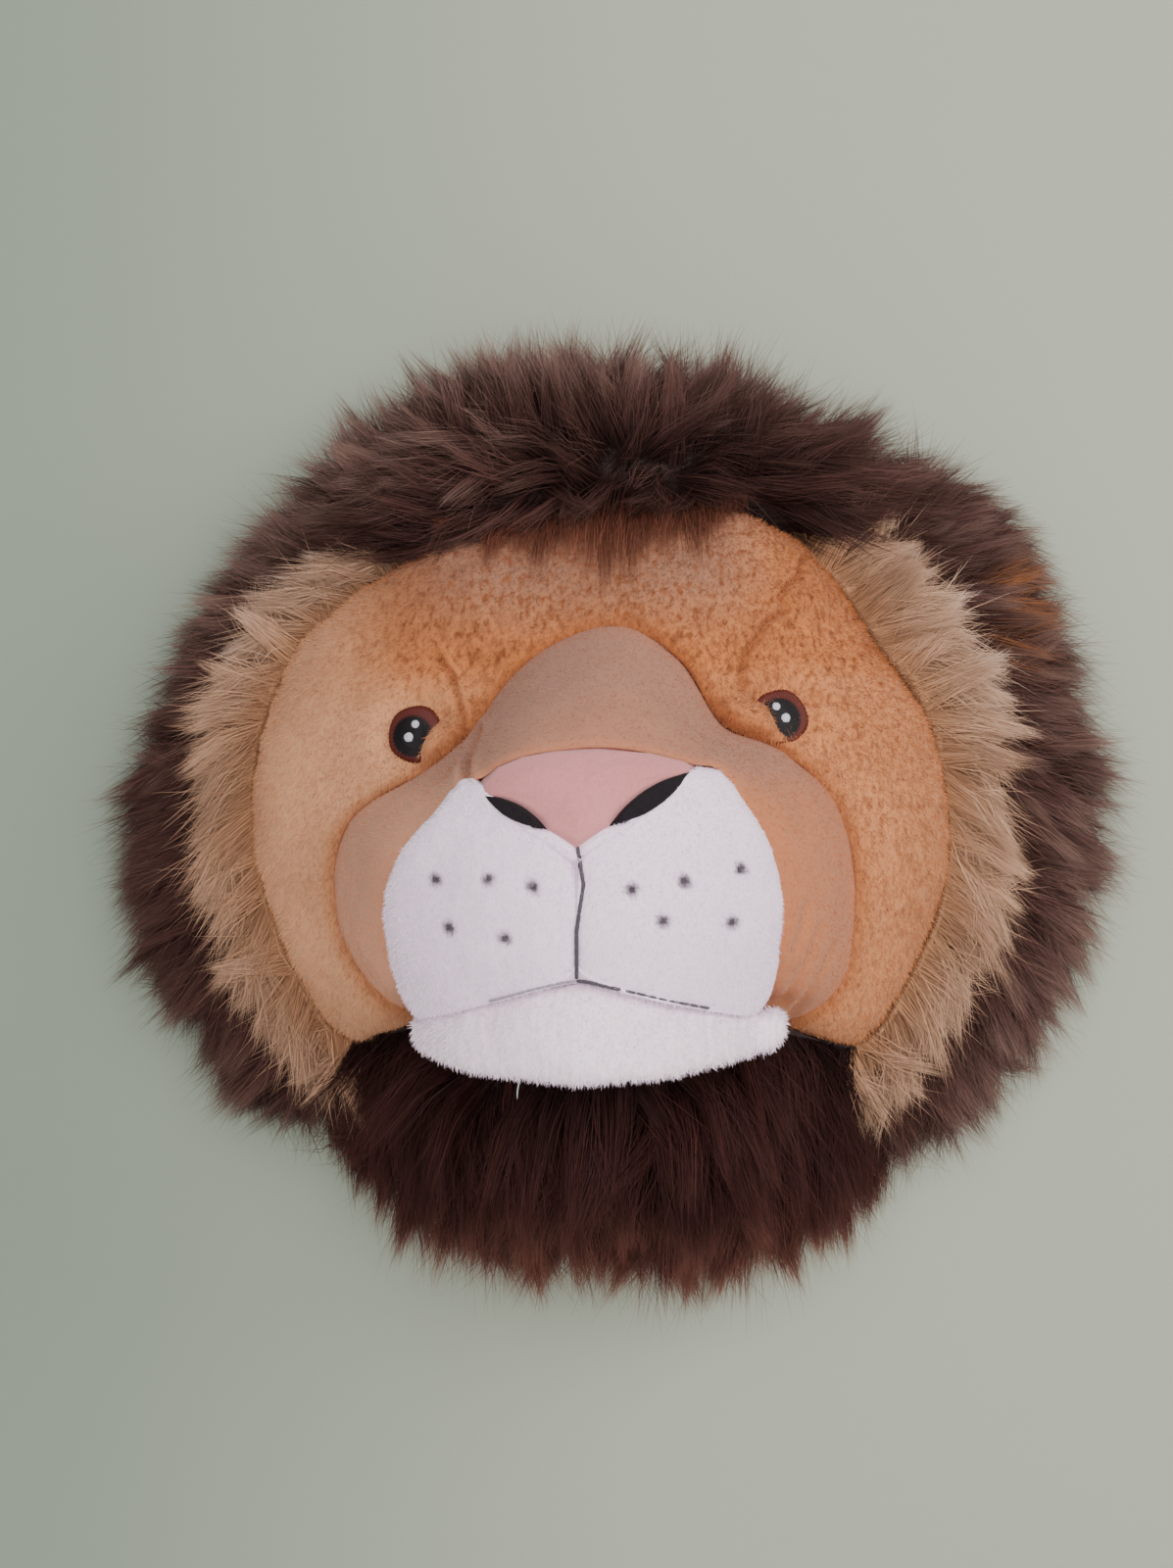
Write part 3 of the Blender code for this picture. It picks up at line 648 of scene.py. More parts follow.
def from_line(x, z, line):
    """Distance of each place from an open line of (x, z) points."""
    best = np.full(np.shape(x), 1e9)
    for (x0, z0), (x1, z1) in zip(line[:-1], line[1:]):
        dx, dz = x1 - x0, z1 - z0
        t = np.clip(((x - x0) * dx + (z - z0) * dz) / (dx * dx + dz * dz), 0, 1)
        best = np.minimum(best, np.hypot(x - x0 - t * dx, z - z0 - t * dz))
    return best


def groove(distance, width, depth):
    """A stitched-in line: deep in the middle, with a soft roll of cloth on both sides."""
    rolled = bell(distance - 1.9 * width, 1.3 * width)
    return -depth * bell(distance, width) + 0.35 * depth * rolled


print("dome over the left eye's seat:", round(float(face_skin(*EYES["eye_left"])), 1), "mm from the wall")

# %% Build the face
LID_LEFT, LID_RIGHT = (-49.3, 19.6), (48.9, 27.6)
LID_REACH = 10.8
FACE_SIDES = 560


def drawn(outline, angles, more=0.0):
    """x and z along an outline, as two rows, where more widens it in millimetres."""
    return np.array(polar(angles, around(outline, angles) + more))


def build_face():
    angles = np.arange(FACE_SIDES) * 360 / FACE_SIDES
    outer, hole = drawn(FACE_OUTLINE, angles), drawn(SNOUT_OUTLINE, angles, -0.4)
    shares = np.linspace(0.0, 1.0, 45)
    x = lerp(outer[0], hole[0], shares[:, None])
    z = lerp(outer[1], hole[1], shares[:, None])
    dome = spot(x, z, face_skin(x, z))
    span = np.hypot(outer[0] - hole[0], outer[1] - hole[1])
    from_rim, from_hole = shares[:, None] * span, (1 - shares[:, None]) * span
    lift = groove(from_line(x, z, DART_RIGHT), 1.1, 2.4) + groove(from_line(x, z, DART_LEFT), 1.2, 2.0)
    lift += groove(from_line(x, z, CREASE_RIGHT), 1.6, 1.6) + groove(from_line(x, z, UNDER_RIGHT), 1.4, 1.4)
    lift -= 0.4 * bell(from_hole, 1.8) + 0.8 * bell(from_rim, 1.8)
    lift += 0.9 * bell(from_hole - 6, 5)
    ripple = np.sin(np.radians(angles) * 47 + 2 * np.sin(np.radians(angles) * 9))
    lift += 0.35 * ripple * bell(from_rim, 7)
    for (ex, ez), lid in ((EYES["eye_left"], LID_LEFT), (EYES["eye_right"], LID_RIGHT)):
        away = np.hypot(x - ex, z - ez)
        lift -= 1.2 * bell(away - 11, 3.0)
        lift += 1.2 * bell(away - 18, 6)
        over = np.hypot(x - lid[0], z - lid[1])
        lift += 4.6 * smooth((LID_REACH + 3.0 - over) / 6.0) * (1 - bell(from_hole, 3.0))
    lift += 1.6 * cloud(dome, 38, 1) + 0.5 * cloud(dome, 13, 2)
    curl_and_light = curl_and_side_light(x, z)
    curls = 0.34 * cloud(dome * (1, 1, 0.7), 3.4, 3) + 0.26 * cloud(dome, 1.7, 4)
    dome = push(dome, lift)
    dome = push(dome, curls * curl_and_light)
    back = [spot(*polar(angles, around(FACE_OUTLINE, angles) * 0.985), BODY_BACK),
            spot(outer[0], outer[1], FACE_EDGE - 14)]
    floor = [spot(hole[0] * 0.99, hole[1] * 0.99, face_skin(*hole) - 7),
             spot(hole[0] * 0.98, hole[1] * 0.98, 58.0)]
    made = skin("face_plush", np.concatenate((back, dome, floor)))
    # Painted light on the corners: the curl share, which also paints the left paler; painted shade along the
    # snout's seam and the darts; painted shade over the forehead.
    pile_and_painted_light = np.ones((len(back) + len(dome) + len(floor), FACE_SIDES, 4))
    seams = bell(from_hole, 5.0) + 0.7 * bell(from_line(x, z, DART_RIGHT), 2.6)
    seams += 0.6 * bell(from_line(x, z, DART_LEFT), 2.6)
    pile_and_painted_light[2:-2, :, 0] = curl_and_light
    pile_and_painted_light[2:-2, :, 1] = np.clip(seams, 0, 1)
    pile_and_painted_light[:, :, 2] = 0
    pile_and_painted_light[2:-2, :, 2] = smooth((z - 48) / 40) * smooth((x + 95) / 50) * smooth((75 - x) / 40)
    paint(made, "pile_and_painted_light", pile_and_painted_light)
    return made, nap("face_nap", dome, 62000, 2.1, 0.34, 71, lean=1.1, carry=("pile_and_painted_light", pile_and_painted_light[2:-2]))


# The same share paints the face paler at the viewer's left: painted light.
def curl_and_side_light(x, z):
    """How curled the pile is: smooth at the viewer's left, curled over the forehead and at the right."""
    right = smooth((x + 92) / 60) * lerp(0.82, 1.0, smooth((z + 5) / 40))
    high = smooth((z - 25) / 30)
    return 0.2 + 0.8 * np.maximum(0.8 * right, high * smooth((x + 110) / 50))


def plush_material(name, left, right, high, pit, seam_shade_colour, tuft=2.2, pits=0.62, bump=0.7, depth=0.5):
    """Plush with painted light in its colour: paler to the left, painted shade high up and at seams and
    darts.
    """
    made = pile_material(name, right, pit, pit, tuft, pits, 0.22, bump=bump, depth=depth, sheen=0.12)
    tree = made.node_tree
    shader = tree.nodes["Principled BSDF"]
    pile = next(node for node in tree.nodes if node.type == "GROUP")
    curl_and_light, seam_shade, upper = on_corners(tree, "pile_and_painted_light")[:3]
    sides = mix_node(tree, curl_and_light, (*left, 1), (*right, 1))
    tree.links.new(mix_node(tree, upper, sides, (*high, 1)), pile.inputs["Colour"])
    curled = math_node(tree, "MULTIPLY", curl_and_light, curl_and_light)
    tree.links.new(math_node(tree, "MULTIPLY", curled, pits), pile.inputs["Pits"])
    seam = math_node(tree, "MULTIPLY", seam_shade, 0.6)
    edged = mix_node(tree, seam, pile.outputs["Colour"], (*seam_shade_colour, 1))
    tree.links.new(edged, shader.inputs["Base Color"])
    return made


# The left colour is paler as painted light; the high and seam colours are painted shade.
face_material = plush_material("Orange curled plush", (0.64, 0.345, 0.190), (0.49, 0.165, 0.048),
                               (0.28, 0.132, 0.080), (0.20, 0.056, 0.016), (0.28, 0.078, 0.020), pits=0.75)
face, face_hairs = build_face()
fit(face, face_material, ["face"])
fit(face_hairs, face_material)

# %% [markdown]
# ## Snout
#
# The bridge of the nose and the bands round the muzzle are smooth velour. Its pile is too short to see as
# curls, so the form itself has to tell the story: it rises from the seam in the face, swells, and rolls
# over into the rim that holds the white pads. A few stuffing creases keep it from looking cast.

# %% Build the snout
CREASE_LEFT = ((-38.6, 27.0), (-39.4, 18.0), (-36.0, 8.5))
WRINKLES = (((74, -38), (64, -62)), ((80, -46), (68, -70)), ((70, -30), (66, -44)), ((-74, -52), (-66, -72)))
SNOUT_SIDES = 300


def build_snout():
    angles = np.arange(SNOUT_SIDES) * 360 / SNOUT_SIDES
    outer = drawn(SNOUT_OUTLINE, angles)
    block = resampled(curved(BLOCK_RIM), SNOUT_SIDES, (0, -8)).T
    block[:2] = grown(block[:2].T, -0.9).T
    shares = np.linspace(0.0, 1.0, 48)[:, None]
    x, z = lerp(outer[0], block[0], shares), lerp(outer[1], block[1], shares)
    low = face_skin(*outer) - 0.6
    rise = lerp(np.sin(shares * np.pi / 2), shares, 0.45)
    form = spot(x, z, lerp(low, block[2] + 1.0, rise))
    span = np.hypot(outer[0] - block[0], outer[1] - block[1]) + 30
    lift = -0.1 * bell(shares * span, 2.0) - 0.9 * bell((1 - shares) * span, 1.8)
    lift += groove(from_line(x, z, CREASE_LEFT), 1.7, 2.6)
    for line in WRINKLES:
        lift += groove(from_line(x, z, line), 1.8, 1.1)
    lift += 1.1 * cloud(form, 30, 5) + 0.35 * cloud(form, 11, 6) + 0.10 * cloud(form, 2.2, 7)
    form = push(form, lift)
    seat = [spot(outer[0] * 0.97, outer[1] * 0.97, 58.5), spot(outer[0] * 0.99, outer[1] * 0.99, low - 5)]
    rim = [spot(block[0], block[1], np.maximum(block[2] - 4, 151)),
           spot(block[0] * 0.99, block[1] * 0.99, 150)]
    made = skin("snout_velour", np.concatenate((seat, form, rim)))
    # Painted light on the corners: paler at the left, painted shade by both seams, and painted shade on the
    # bridge's top, greyer and darker.
    pile_and_painted_light = np.zeros((len(seat) + len(form) + len(rim), SNOUT_SIDES, 4))
    at_face, at_muzzle = bell(shares * span, 5.0), bell((1 - shares) * span, 4.0)
    pile_and_painted_light[2:-2, :, 0] = smooth((x + 45) / 90)
    pile_and_painted_light[2:-2, :, 1] = 0.6 * at_face + 0.5 * at_muzzle
    pile_and_painted_light[2:-2, :, 2] = 0.85 * smooth((z - 2) / 18)
    pile_and_painted_light[..., 3] = 1
    paint(made, "pile_and_painted_light", pile_and_painted_light)
    return made, nap("snout_nap", form, 30000, 1.0, 0.26, 74, lean=1.2, carry=("pile_and_painted_light", pile_and_painted_light[2:-2]))


# The left colour is paler as painted light; the high and seam colours are painted shade.
snout_material = plush_material("Taupe velour", (0.62, 0.275, 0.155), (0.46, 0.155, 0.060),
                                (0.36, 0.158, 0.102), (0.30, 0.115, 0.062), (0.44, 0.145, 0.055),
                                tuft=1.2, pits=0.3, bump=0.4, depth=0.2)
snout, snout_hairs = build_snout()
fit(snout, snout_material, ["snout"])
fit(snout_hairs, snout_material)

# %% [markdown]
# ## Muzzle
#
# The muzzle is one white pad, pulled in along its middle by a row of dark stitches so that it reads as two.
# Dots for the whiskers are printed on it. The dots are painted into the mesh's corners, because a texture
# would need an image, and each also sits in a small dimple where the needle went through.

# %% The front of the muzzle and the nostrils' leaves
WHISKERS = ((-45.8, -19.5), (-28.3, -19.0), (-14.5, -21.1), (-41.2, -34.0), (-23.4, -36.6),
            (14.9, -21.9), (30.6, -19.8), (47.9, -16.5), (24.1, -31.5), (45.2, -33.0))
CLEFT = ((-1.3, -9.0), (0.5, -20.4), (-1.7, -34.5), (-1.9, -51.4))
MUZZLE_SIDES = 300


def front_skin(x, z):
    """How far the front of muzzle and nose stands from the wall."""
    side = (x + 2.2) / 74
    up = (z + 14) / np.where(z > -14, 64, 82)
    return 150 + 79 * np.sqrt(np.maximum(1 - side * side * 0.98 - up * up * 0.86, 0.0))


def leaf(ends, half_width, bulge_up, bulge_down):
    """A leaf between two ends, as its upper and its lower edge, both from the first end to the second."""
    first, last = np.array(ends, float)
    length = np.linalg.norm(last - first)
    away = np.array((first[1] - last[1], last[0] - first[0])) / length
    away = away if away[1] > 0 else -away
    t = np.linspace(0, 1, 13)[:, None]
    swell = np.sin(np.pi * np.clip(t, 0, 1)) ** 0.8 * half_width
    return [lerp(first, last, t) + away * swell * bulge for bulge in (bulge_up, -bulge_down)]


LEFT_UP, LEFT_DOWN = leaf(NOSTRIL_LEFT[:2], NOSTRIL_LEFT[2], 1.0, 1.0)
RIGHT_UP, RIGHT_DOWN = leaf(NOSTRIL_RIGHT[:2], NOSTRIL_RIGHT[2], 0.9, 1.1)
print("nose bridge stands", round(float(front_skin(0, -10)), 1), "mm from the wall")

# %% Build the muzzle
def build_muzzle():
    rim = curved(BLOCK_RIM)[:, :2]
    mouth_at = along(MOUTH, rim[:, 0]) + 0.4
    right = rim[(rim[:, 0] > 0) & (rim[:, 1] > mouth_at) & (rim[:, 1] < 14.5)]
    left = rim[(rim[:, 0] < -33.5) & (rim[:, 1] > mouth_at)]
    right = right[np.argsort(-right[:, 1])]
    left = left[np.argsort(left[:, 1])]
    across = np.linspace(55, -58, 41)
    mouth = np.stack((across, along(MOUTH, across)), axis=1)
    top = np.concatenate((LEFT_DOWN, [NOSE_TIP], RIGHT_DOWN[::-1]))
    outline = grown(np.concatenate((top, right, mouth, left)), 0.6)
    edge = resampled(outline, MUZZLE_SIDES, (CLEFT_X, -32)).T
    shares = (np.linspace(0, 1, 56)[:, None] ** 1.25) * 0.985
    x = lerp(edge[0], CLEFT_X, shares)
    z = lerp(edge[1], np.clip(edge[1], -46, -14), shares)
    cleft_x = along([(b, a) for a, b in CLEFT], z)
    apart = abs(x - cleft_x)
    from_edge = np.hypot(x - edge[0], z - edge[1])
    lift = -1.3 * bell(from_edge, 1.2) + 0.5 * bell(from_edge - 6, 4)
    lift -= 1.1 * bell(apart, 1.6) + 0.8 * bell(apart, 6)
    lift += 0.6 * np.exp(-((apart - 25) / 15) ** 2 - ((z + 30) / 20) ** 2)
    for wx, wz in WHISKERS:
        lift -= 0.55 * np.exp(-(((x - wx) ** 2 + (z - wz) ** 2) / 2.6 ** 2))
    form = spot(x, z, front_skin(x, z))
    lift += 0.7 * cloud(form, 16, 8) + 0.22 * cloud(form, 5, 9) + 0.12 * cloud(form, 1.7, 10)
    form = push(form, lift)
    tuck = [spot(edge[0] * 0.98, edge[1], MUZZLE_SEAT + 1), spot(edge[0], edge[1], front_skin(*edge) - 5)]
    made = skin("muzzle_pad", np.concatenate((tuck, form)))
    marks = np.zeros((len(tuck) + len(x), MUZZLE_SIDES, 4))
    marks[..., 3] = 1
    fuzz = 1 + 0.22 * cloud(form, 1.4, 11) + 0.12 * cloud(form, 0.8, 12)
    for wx, wz in WHISKERS:
        away = np.hypot(x - wx, z - wz) / fuzz
        marks[len(tuck):, :, 0] = np.maximum(marks[len(tuck):, :, 0], 1 - smooth((away - 1.0) / 1.9))
    paint(made, "marks", marks)
    return made, nap("muzzle_nap", form, 17000, 1.3, 0.3, 72, lean=1.0, carry=("marks", marks[len(tuck):]))


def marked_material(name, colour, pit, drift_colour, ink, **how):
    """Pile with dye printed on it where the mesh's corners are marked."""
    made = pile_material(name, colour, pit, drift_colour, **how)
    tree = made.node_tree
    shader = tree.nodes["Principled BSDF"]
    plain = shader.inputs["Base Color"].links[0].from_socket
    marked = on_corners(tree, "marks")[0]
    tree.links.new(mix_node(tree, marked, plain, (*ink, 1)), shader.inputs["Base Color"])
    return made


muzzle_material = marked_material("White short pile with dots", (0.86, 0.70, 0.83), (0.74, 0.58, 0.72),
                                  (0.83, 0.67, 0.81), (0.05, 0.035, 0.05), tuft=1.8, pits=0.25, drift=0.5,
                                  bump=0.45, depth=0.3)
muzzle, muzzle_hairs = build_muzzle()
fit(muzzle, muzzle_material, ["muzzle"])
fit(muzzle_hairs, muzzle_material)

# %% [markdown]
# ## Nose and nostrils
#
# The nose is a small stuffed triangle of pink velour, sewn in under the bridge, and each nostril is a leaf
# of black felt between nose and muzzle. The felt is sewn over the rims of both, so that it hides where they
# meet.

# %% Build nose and nostrils
def build_nose():
    outline = np.concatenate((NOSE_TOP, LEFT_UP, [NOSE_TIP], RIGHT_UP[::-1]))
    edge = resampled(grown(outline, 0.9), 160, NOSE_MIDDLE).T
    shares = (np.linspace(0, 1, 30)[:, None] ** 1.3) * 0.985
    x, z = lerp(edge[0], NOSE_MIDDLE[0], shares), lerp(edge[1], NOSE_MIDDLE[1], shares)
    from_edge = np.hypot(x - edge[0], z - edge[1])
    form = spot(x, z, front_skin(x, z) + 1.0)
    lift = -2.6 * bell(from_edge, 1.4) + 1.5 * smooth(from_edge / 13)
    lift += 0.4 * cloud(form, 12, 13) + 0.07 * cloud(form, 1.6, 14)
    form = push(form, lift)
    tuck = [spot(edge[0], edge[1], MUZZLE_SEAT + 1), spot(edge[0], edge[1], front_skin(*edge) - 6)]
    return skin("nose_pad", np.concatenate((tuck, form)))


def build_nostril(name, upper, lower):
    edge = grown(np.concatenate((upper, lower[-2:0:-1])), -0.3)
    centre = edge.mean(axis=0)
    shares = np.linspace(0, 0.97, 14)[:, None]
    x, z = lerp(edge[:, 0], centre[0], shares), lerp(edge[:, 1], centre[1], shares)
    form = spot(x, z, front_skin(x, z) - 1.2 + 3.2 * smooth(shares * 4))
    form = push(form, 0.16 * cloud(form, 1.2, 15))
    return skin(name, np.concatenate(([spot(edge[:, 0], edge[:, 1], MUZZLE_SEAT + 1)], form)))


nose_material = pile_material("Dusty pink velour", (0.49, 0.180, 0.178), (0.36, 0.125, 0.122),
                              (0.52, 0.205, 0.205), 1.2, 0.2, 0.6, sheen=0.3, bump=0.3, depth=0.2)
felt_material = pile_material("Black felt", (0.009, 0.006, 0.008), (0.004, 0.003, 0.004),
                              (0.012, 0.008, 0.010), 0.9, 0.5, 0.4, sheen=0.02, bump=0.4, depth=0.2)
fit(build_nose(), nose_material, ["nose"])
for side, upper, lower in (("left", LEFT_UP, LEFT_DOWN), ("right", RIGHT_UP, RIGHT_DOWN)):
    leaf_piece = build_nostril("nostril_leaf_" + side, upper, lower)
    fit(leaf_piece, felt_material, ["nostril_" + side])

# %% [markdown]
# ## Lower lip
#
# The lip is a roll of the same white pile. Its cloth is longer than the mouth, so the thread that gathers
# it leaves fine folds that run across the roll, closest together on the viewer's right. A simulated cloth
# would gather itself, but waves in code put the folds where the photograph shows them. They are uneven on
# purpose.

# %% Build the lip
def build_lip():
    """A roll made of closed sections across it, from its left end to its right end."""
    count, sides = 330, 44
    t = np.linspace(-1, 1, count)[:, None]
    x = lerp(2.3, 63.2, t * (1 - 0.06 * t * t) / 0.94) + 0 * np.zeros(sides)
    mouth = along(MOUTH, x) - 0.2 + 1.2 * smooth((x - 55) / 8) + 0.4 * smooth((-56 - x) / 5)
    below = along(LIP_BELOW, x)
    round_off = np.sqrt(np.maximum(1 - (abs(t) - 0.9).clip(0) ** 2 / 0.0102, 0.02))
    middle, half = (mouth + below) / 2, (mouth - below) / 2 * round_off
    front = np.maximum(front_skin(x, mouth) - 1.0, 177.0) - 6 * (1 - round_off)
    low = np.full_like(front, LIP_SEAT)
    turn = np.linspace(0, 2 * np.pi, sides, endpoint=False)[None]
    up, out = np.sin(turn), np.cos(turn)
    up = np.sign(up) * abs(up) ** 0.62
    out = np.sign(out) * abs(out) ** 0.45
    height = np.where(out > 0, front - 11 * (1 - out), low + (front - 11 - low) * (1 + np.minimum(out, 0)))
    roll = spot(x, middle + half * up, height)
    phase = x / 4.0 + 0.9 * np.sin(x / 9.0) + 0.6 * cloud(roll, 9, 16)
    gathers = np.cos(2 * np.pi * phase) + 0.5 * np.cos(2 * np.pi * phase * 1.9 + 1)
    where = 0.3 + 0.7 * smooth((x - 8) / 30)
    lift = 0.36 * gathers * where * (0.6 + 0.4 * abs(up)) * (out > -0.5)
    lift = lift + 0.8 * cloud(roll, 14, 17) + 0.35 * cloud(roll, 4.5, 18) + 0.2 * cloud(roll, 1.7, 19)
    roll = push(roll, lift * smooth((1 - abs(t)) / 0.03))
    return skin("lip_roll", roll), nap("lip_nap", roll, 18000, 2.0, 0.32, 73, lean=0.7)


lip_material = pile_material("White gathered pile", (0.87, 0.72, 0.82), (0.74, 0.58, 0.69),
                             (0.84, 0.68, 0.79), 2.0, 0.3, 0.5, bump=0.5, depth=0.35)
lip, lip_hairs = build_lip()
fit(lip, lip_material, ["lower_lip"])
fit(lip_hairs, lip_material)

# %% [markdown]
# ## Eyes and thread
#
# Each eye is stitched in satin thread: a red-brown ring round a black pupil, with two small white knots
# that stand for the light in it. The threads run from the middle out, so the relief is cut in as rays. The
# mouth and the cleft are dark-grey stitches, each a short bent tube that lies on the cloth. A painted line
# would be quicker, but tubes cast their own small shadows. The row at the left is of thread that has worn
# pale and thin, and one white end of thread hangs out of the lip's lower seam.

# %% Build the eyes
def eye_axes(x, z):
    """The middle of an eye and the directions across, up and out of it, square to the face's skin."""
    middle = spot(x, z, face_skin(x, z))
    across = unit(spot(x + 2, z, face_skin(x + 2, z)) - middle)
    rising = unit(spot(x, z + 2, face_skin(x, z + 2)) - middle)
    out = unit(np.cross(across, rising))
    return middle, across, np.cross(out, across), out


def build_eye(name, x, z, pupil_x, pupil_z):
    middle, across, up, out = eye_axes(x, z)
    way = 2 * np.pi * np.arange(180)[None] / 180
    share = np.linspace(1.0, 0.02, 26)[:, None]
    ragged = 1 + 0.009 * np.sin(41 * way) + 0.007 * np.sin(67 * way + 1) + 0.018 * np.sin(5 * way + 2)
    height = np.interp(share, (0, 0.5, 0.9, 1), (2.7, 2.4, 1.5, 0.1)) + 0 * way
    height = height + 0.14 * np.cos(60 * way) * smooth((share - 0.15) / 0.3) * smooth((1.02 - share) / 0.1)
    reach = (EYE_RADIUS + 0.6) * share * lerp(1, ragged, smooth((share - 0.7) / 0.3))
    ex, ez = reach * np.cos(way), reach * np.sin(way)
    form = middle + across * ex[..., None] + up * ez[..., None] + out * height[..., None]
    made = skin(name + "_thread", np.concatenate((form[:1] - out * 3.0, form)))
    rag = 0.3 * np.cos(60 * way + 1) + 0.25 * np.cos(37 * way)
    marks = np.zeros((27, 180, 4))
    marks[1:, :, 0] = smooth((np.hypot(ex - pupil_x, ez - pupil_z) - PUPIL + rag) / 0.7 + 0.5)
    marks[0, :, 0] = 1
    # The second value marks each thread's top, so that the grooves between threads get painted shade.
    marks[1:, :, 1] = 0.5 + 0.5 * np.cos(60 * way) + 0 * share
    marks[..., 3] = 1
    paint(made, "marks", marks)
    return made


def build_knots(name, x, z, knots):
    """Small flat rounds of white thread on the eye, as (across, up, radius)."""
    middle, across, up, out = eye_axes(x, z)
    rng = np.random.default_rng(61)
    parts = bmesh.new()
    for kx, kz, radius in knots:
        lump = bmesh.ops.create_uvsphere(parts, u_segments=28, v_segments=12, radius=1.0)
        share = np.hypot(kx, kz) / EYE_RADIUS
        base = middle + across * kx + up * kz + out * np.interp(share, (0, 0.5, 0.9), (2.5, 2.2, 1.3))
        for corner in lump["verts"]:
            c = corner.co
            wide = radius * (1 + rng.normal(0, 0.045))
            place = base + (across * c.x + up * c.y) * wide + out * (c.z * 0.75)
            corner.co = place * MM
    return finish_mesh(name, parts)


def finish_mesh(name, parts):
    mesh = bpy.data.meshes.new(name)
    bmesh.ops.recalc_face_normals(parts, faces=parts.faces)
    parts.to_mesh(mesh)
    parts.free()
    mesh.shade_smooth()
    return put_in(name, mesh)


def thread_material(name, pupil, ring):
    made, tree, shader = start_material(name, 0.55, 0.0)
    shader.inputs["Specular IOR Level"].default_value = 0.22
    in_ring, thread_top = on_corners(tree, "marks")[:2]
    colour = mix_node(tree, in_ring, (*pupil, 1), (*ring, 1))
    # Darker in the grooves between the threads: painted shade.
    dim = math_node(tree, "MULTIPLY_ADD", thread_top, 0.6, 0.6)
    tree.links.new(scaled(tree, colour, dim), shader.inputs["Base Color"])
    fine = noise_node(tree, in_millimetres(tree), 0.4, 2.0)
    bump_node(tree, fine, 0.3, 0.15, shader)
    return made


PUPIL = 7.3
eye_material = thread_material("Satin thread, black in red-brown", (0.004, 0.0025, 0.0035),
                               (0.090, 0.016, 0.012))
white_thread = pile_material("White thread", (0.52, 0.51, 0.57), (0.28, 0.27, 0.31), (0.5, 0.49, 0.54),
                             0.7, 0.5, 0.2, roughness=0.6, sheen=0.1, bump=0.5, depth=0.15)
PUPIL_SHIFT = {"eye_left": (-0.6, -0.9), "eye_right": (-0.5, -0.8)}
KNOTS = {"eye_left": ((0.4, 3.2, 1.5), (-1.8, -1.3, 1.8)), "eye_right": ((-1.9, 3.4, 1.5), (1.2, -0.6, 1.7))}
for node, (ex, ez) in EYES.items():
    fit(build_eye(node, ex, ez, *PUPIL_SHIFT[node]), eye_material, [node])
    fit(build_knots(node + "_knots", ex, ez, KNOTS[node]), white_thread)

# %% Stitches of the cleft and the mouth
def tube(parts, line, radius, sides=8):
    """A closed tube with rounded ends along a line of places, added to a bmesh, in millimetres."""
    line = np.asarray(line, float)
    ahead = unit(np.gradient(line, axis=0))
    side = unit(np.cross(ahead, np.array((0.0, -1.0, 0.0))))
    lifted = np.cross(side, ahead)
    taper = np.sqrt(np.maximum(1 - np.linspace(-1, 1, len(line)) ** 6, 0.06))
    rings = []
    for place, s, u, share in zip(line, side, lifted, taper):
        turn = 2 * np.pi * np.arange(sides) / sides
        ring = place + radius * share * (np.cos(turn)[:, None] * s + np.sin(turn)[:, None] * u)
        rings.append([parts.verts.new(c * MM) for c in ring])
    for first, second in zip(rings[:-1], rings[1:]):
        for i in range(sides):
            j = (i + 1) % sides
            parts.faces.new((first[i], first[j], second[j], second[i]))
    parts.faces.new(rings[0][::-1])
    parts.faces.new(rings[-1])


def stitch_row(parts, keys, length, gap, radius, sink, arch=0.5):
    """Stitches one after the other along (x, z) keys, each arched out of the cloth and down at both ends."""
    keys = np.array(keys, float)
    run = np.concatenate(([0], np.cumsum(np.hypot(*np.diff(keys, axis=0).T))))
    start = 0.0
    while start + length <= run[-1] + 1e-6:
        at = np.linspace(start, start + length, 9)
        x, z = np.interp(at, run, keys[:, 0]), np.interp(at, run, keys[:, 1])
        bow = arch * np.sin(np.linspace(0, np.pi, 9))
        tube(parts, spot(x, z, front_skin(x, z) - sink + bow), radius)
        start += length + gap


def mouth_line(first, last):
    x = np.linspace(first, last, 15)
    return np.stack((x, along(MOUTH, x) + 0.6), axis=1)


def stitch_thread(name, colour, pit, drift_colour):
    return pile_material(name, colour, pit, drift_colour, 0.5, 0.4, 0.4, roughness=0.6, sheen=0.2, bump=0.4,
                         depth=0.1)


thread = bmesh.new()
stitch_row(thread, CLEFT, 4.2, -0.9, 0.66, 1.6, arch=0.25)
stitch_row(thread, mouth_line(-2, 14), 4.2, -1.0, 0.62, -0.3, arch=0.25)
stitch_row(thread, mouth_line(12.5, 40), 3.6, -0.3, 0.44, -0.3, arch=0.3)
grey_thread = stitch_thread("Dark-grey thread", (0.055, 0.045, 0.060), (0.025, 0.02, 0.027),
                            (0.07, 0.06, 0.075))
fit(finish_mesh("mouth_stitches", thread), grey_thread)
worn_rows = bmesh.new()
stitch_row(worn_rows, mouth_line(-2, -31), 3.4, -0.3, 0.40, -0.3, arch=0.3)
pale_thread = stitch_thread("Worn grey thread", (0.27, 0.235, 0.28), (0.16, 0.135, 0.165),
                            (0.34, 0.30, 0.35))
fit(finish_mesh("mouth_stitches_left", worn_rows), pale_thread)

# A white end of thread hangs out of the lip's lower seam.
loose = bmesh.new()
fall = np.linspace(0, 1, 12)
tube(loose, spot(-23.3 + 0.7 * np.sin(fall * 5), -78 - 15 * fall, 176.5 - 3 * fall), 0.26)
fit(finish_mesh("loose_thread", loose), white_thread)

# %% [markdown]
# ## Cloth under the fur
#
# Fur fabric is woven cloth with strands standing out of it. Under each fur lies that cloth, lower than the
# solid by the depth of the pile, so that the strands fill the space up to the solid's skin. Each cloth is a
# function of two shares: u runs along the panel, and v from its seam with the face out to its edge.

# %% Where each fur's cloth lies
CROWN_SEAM = 1.5


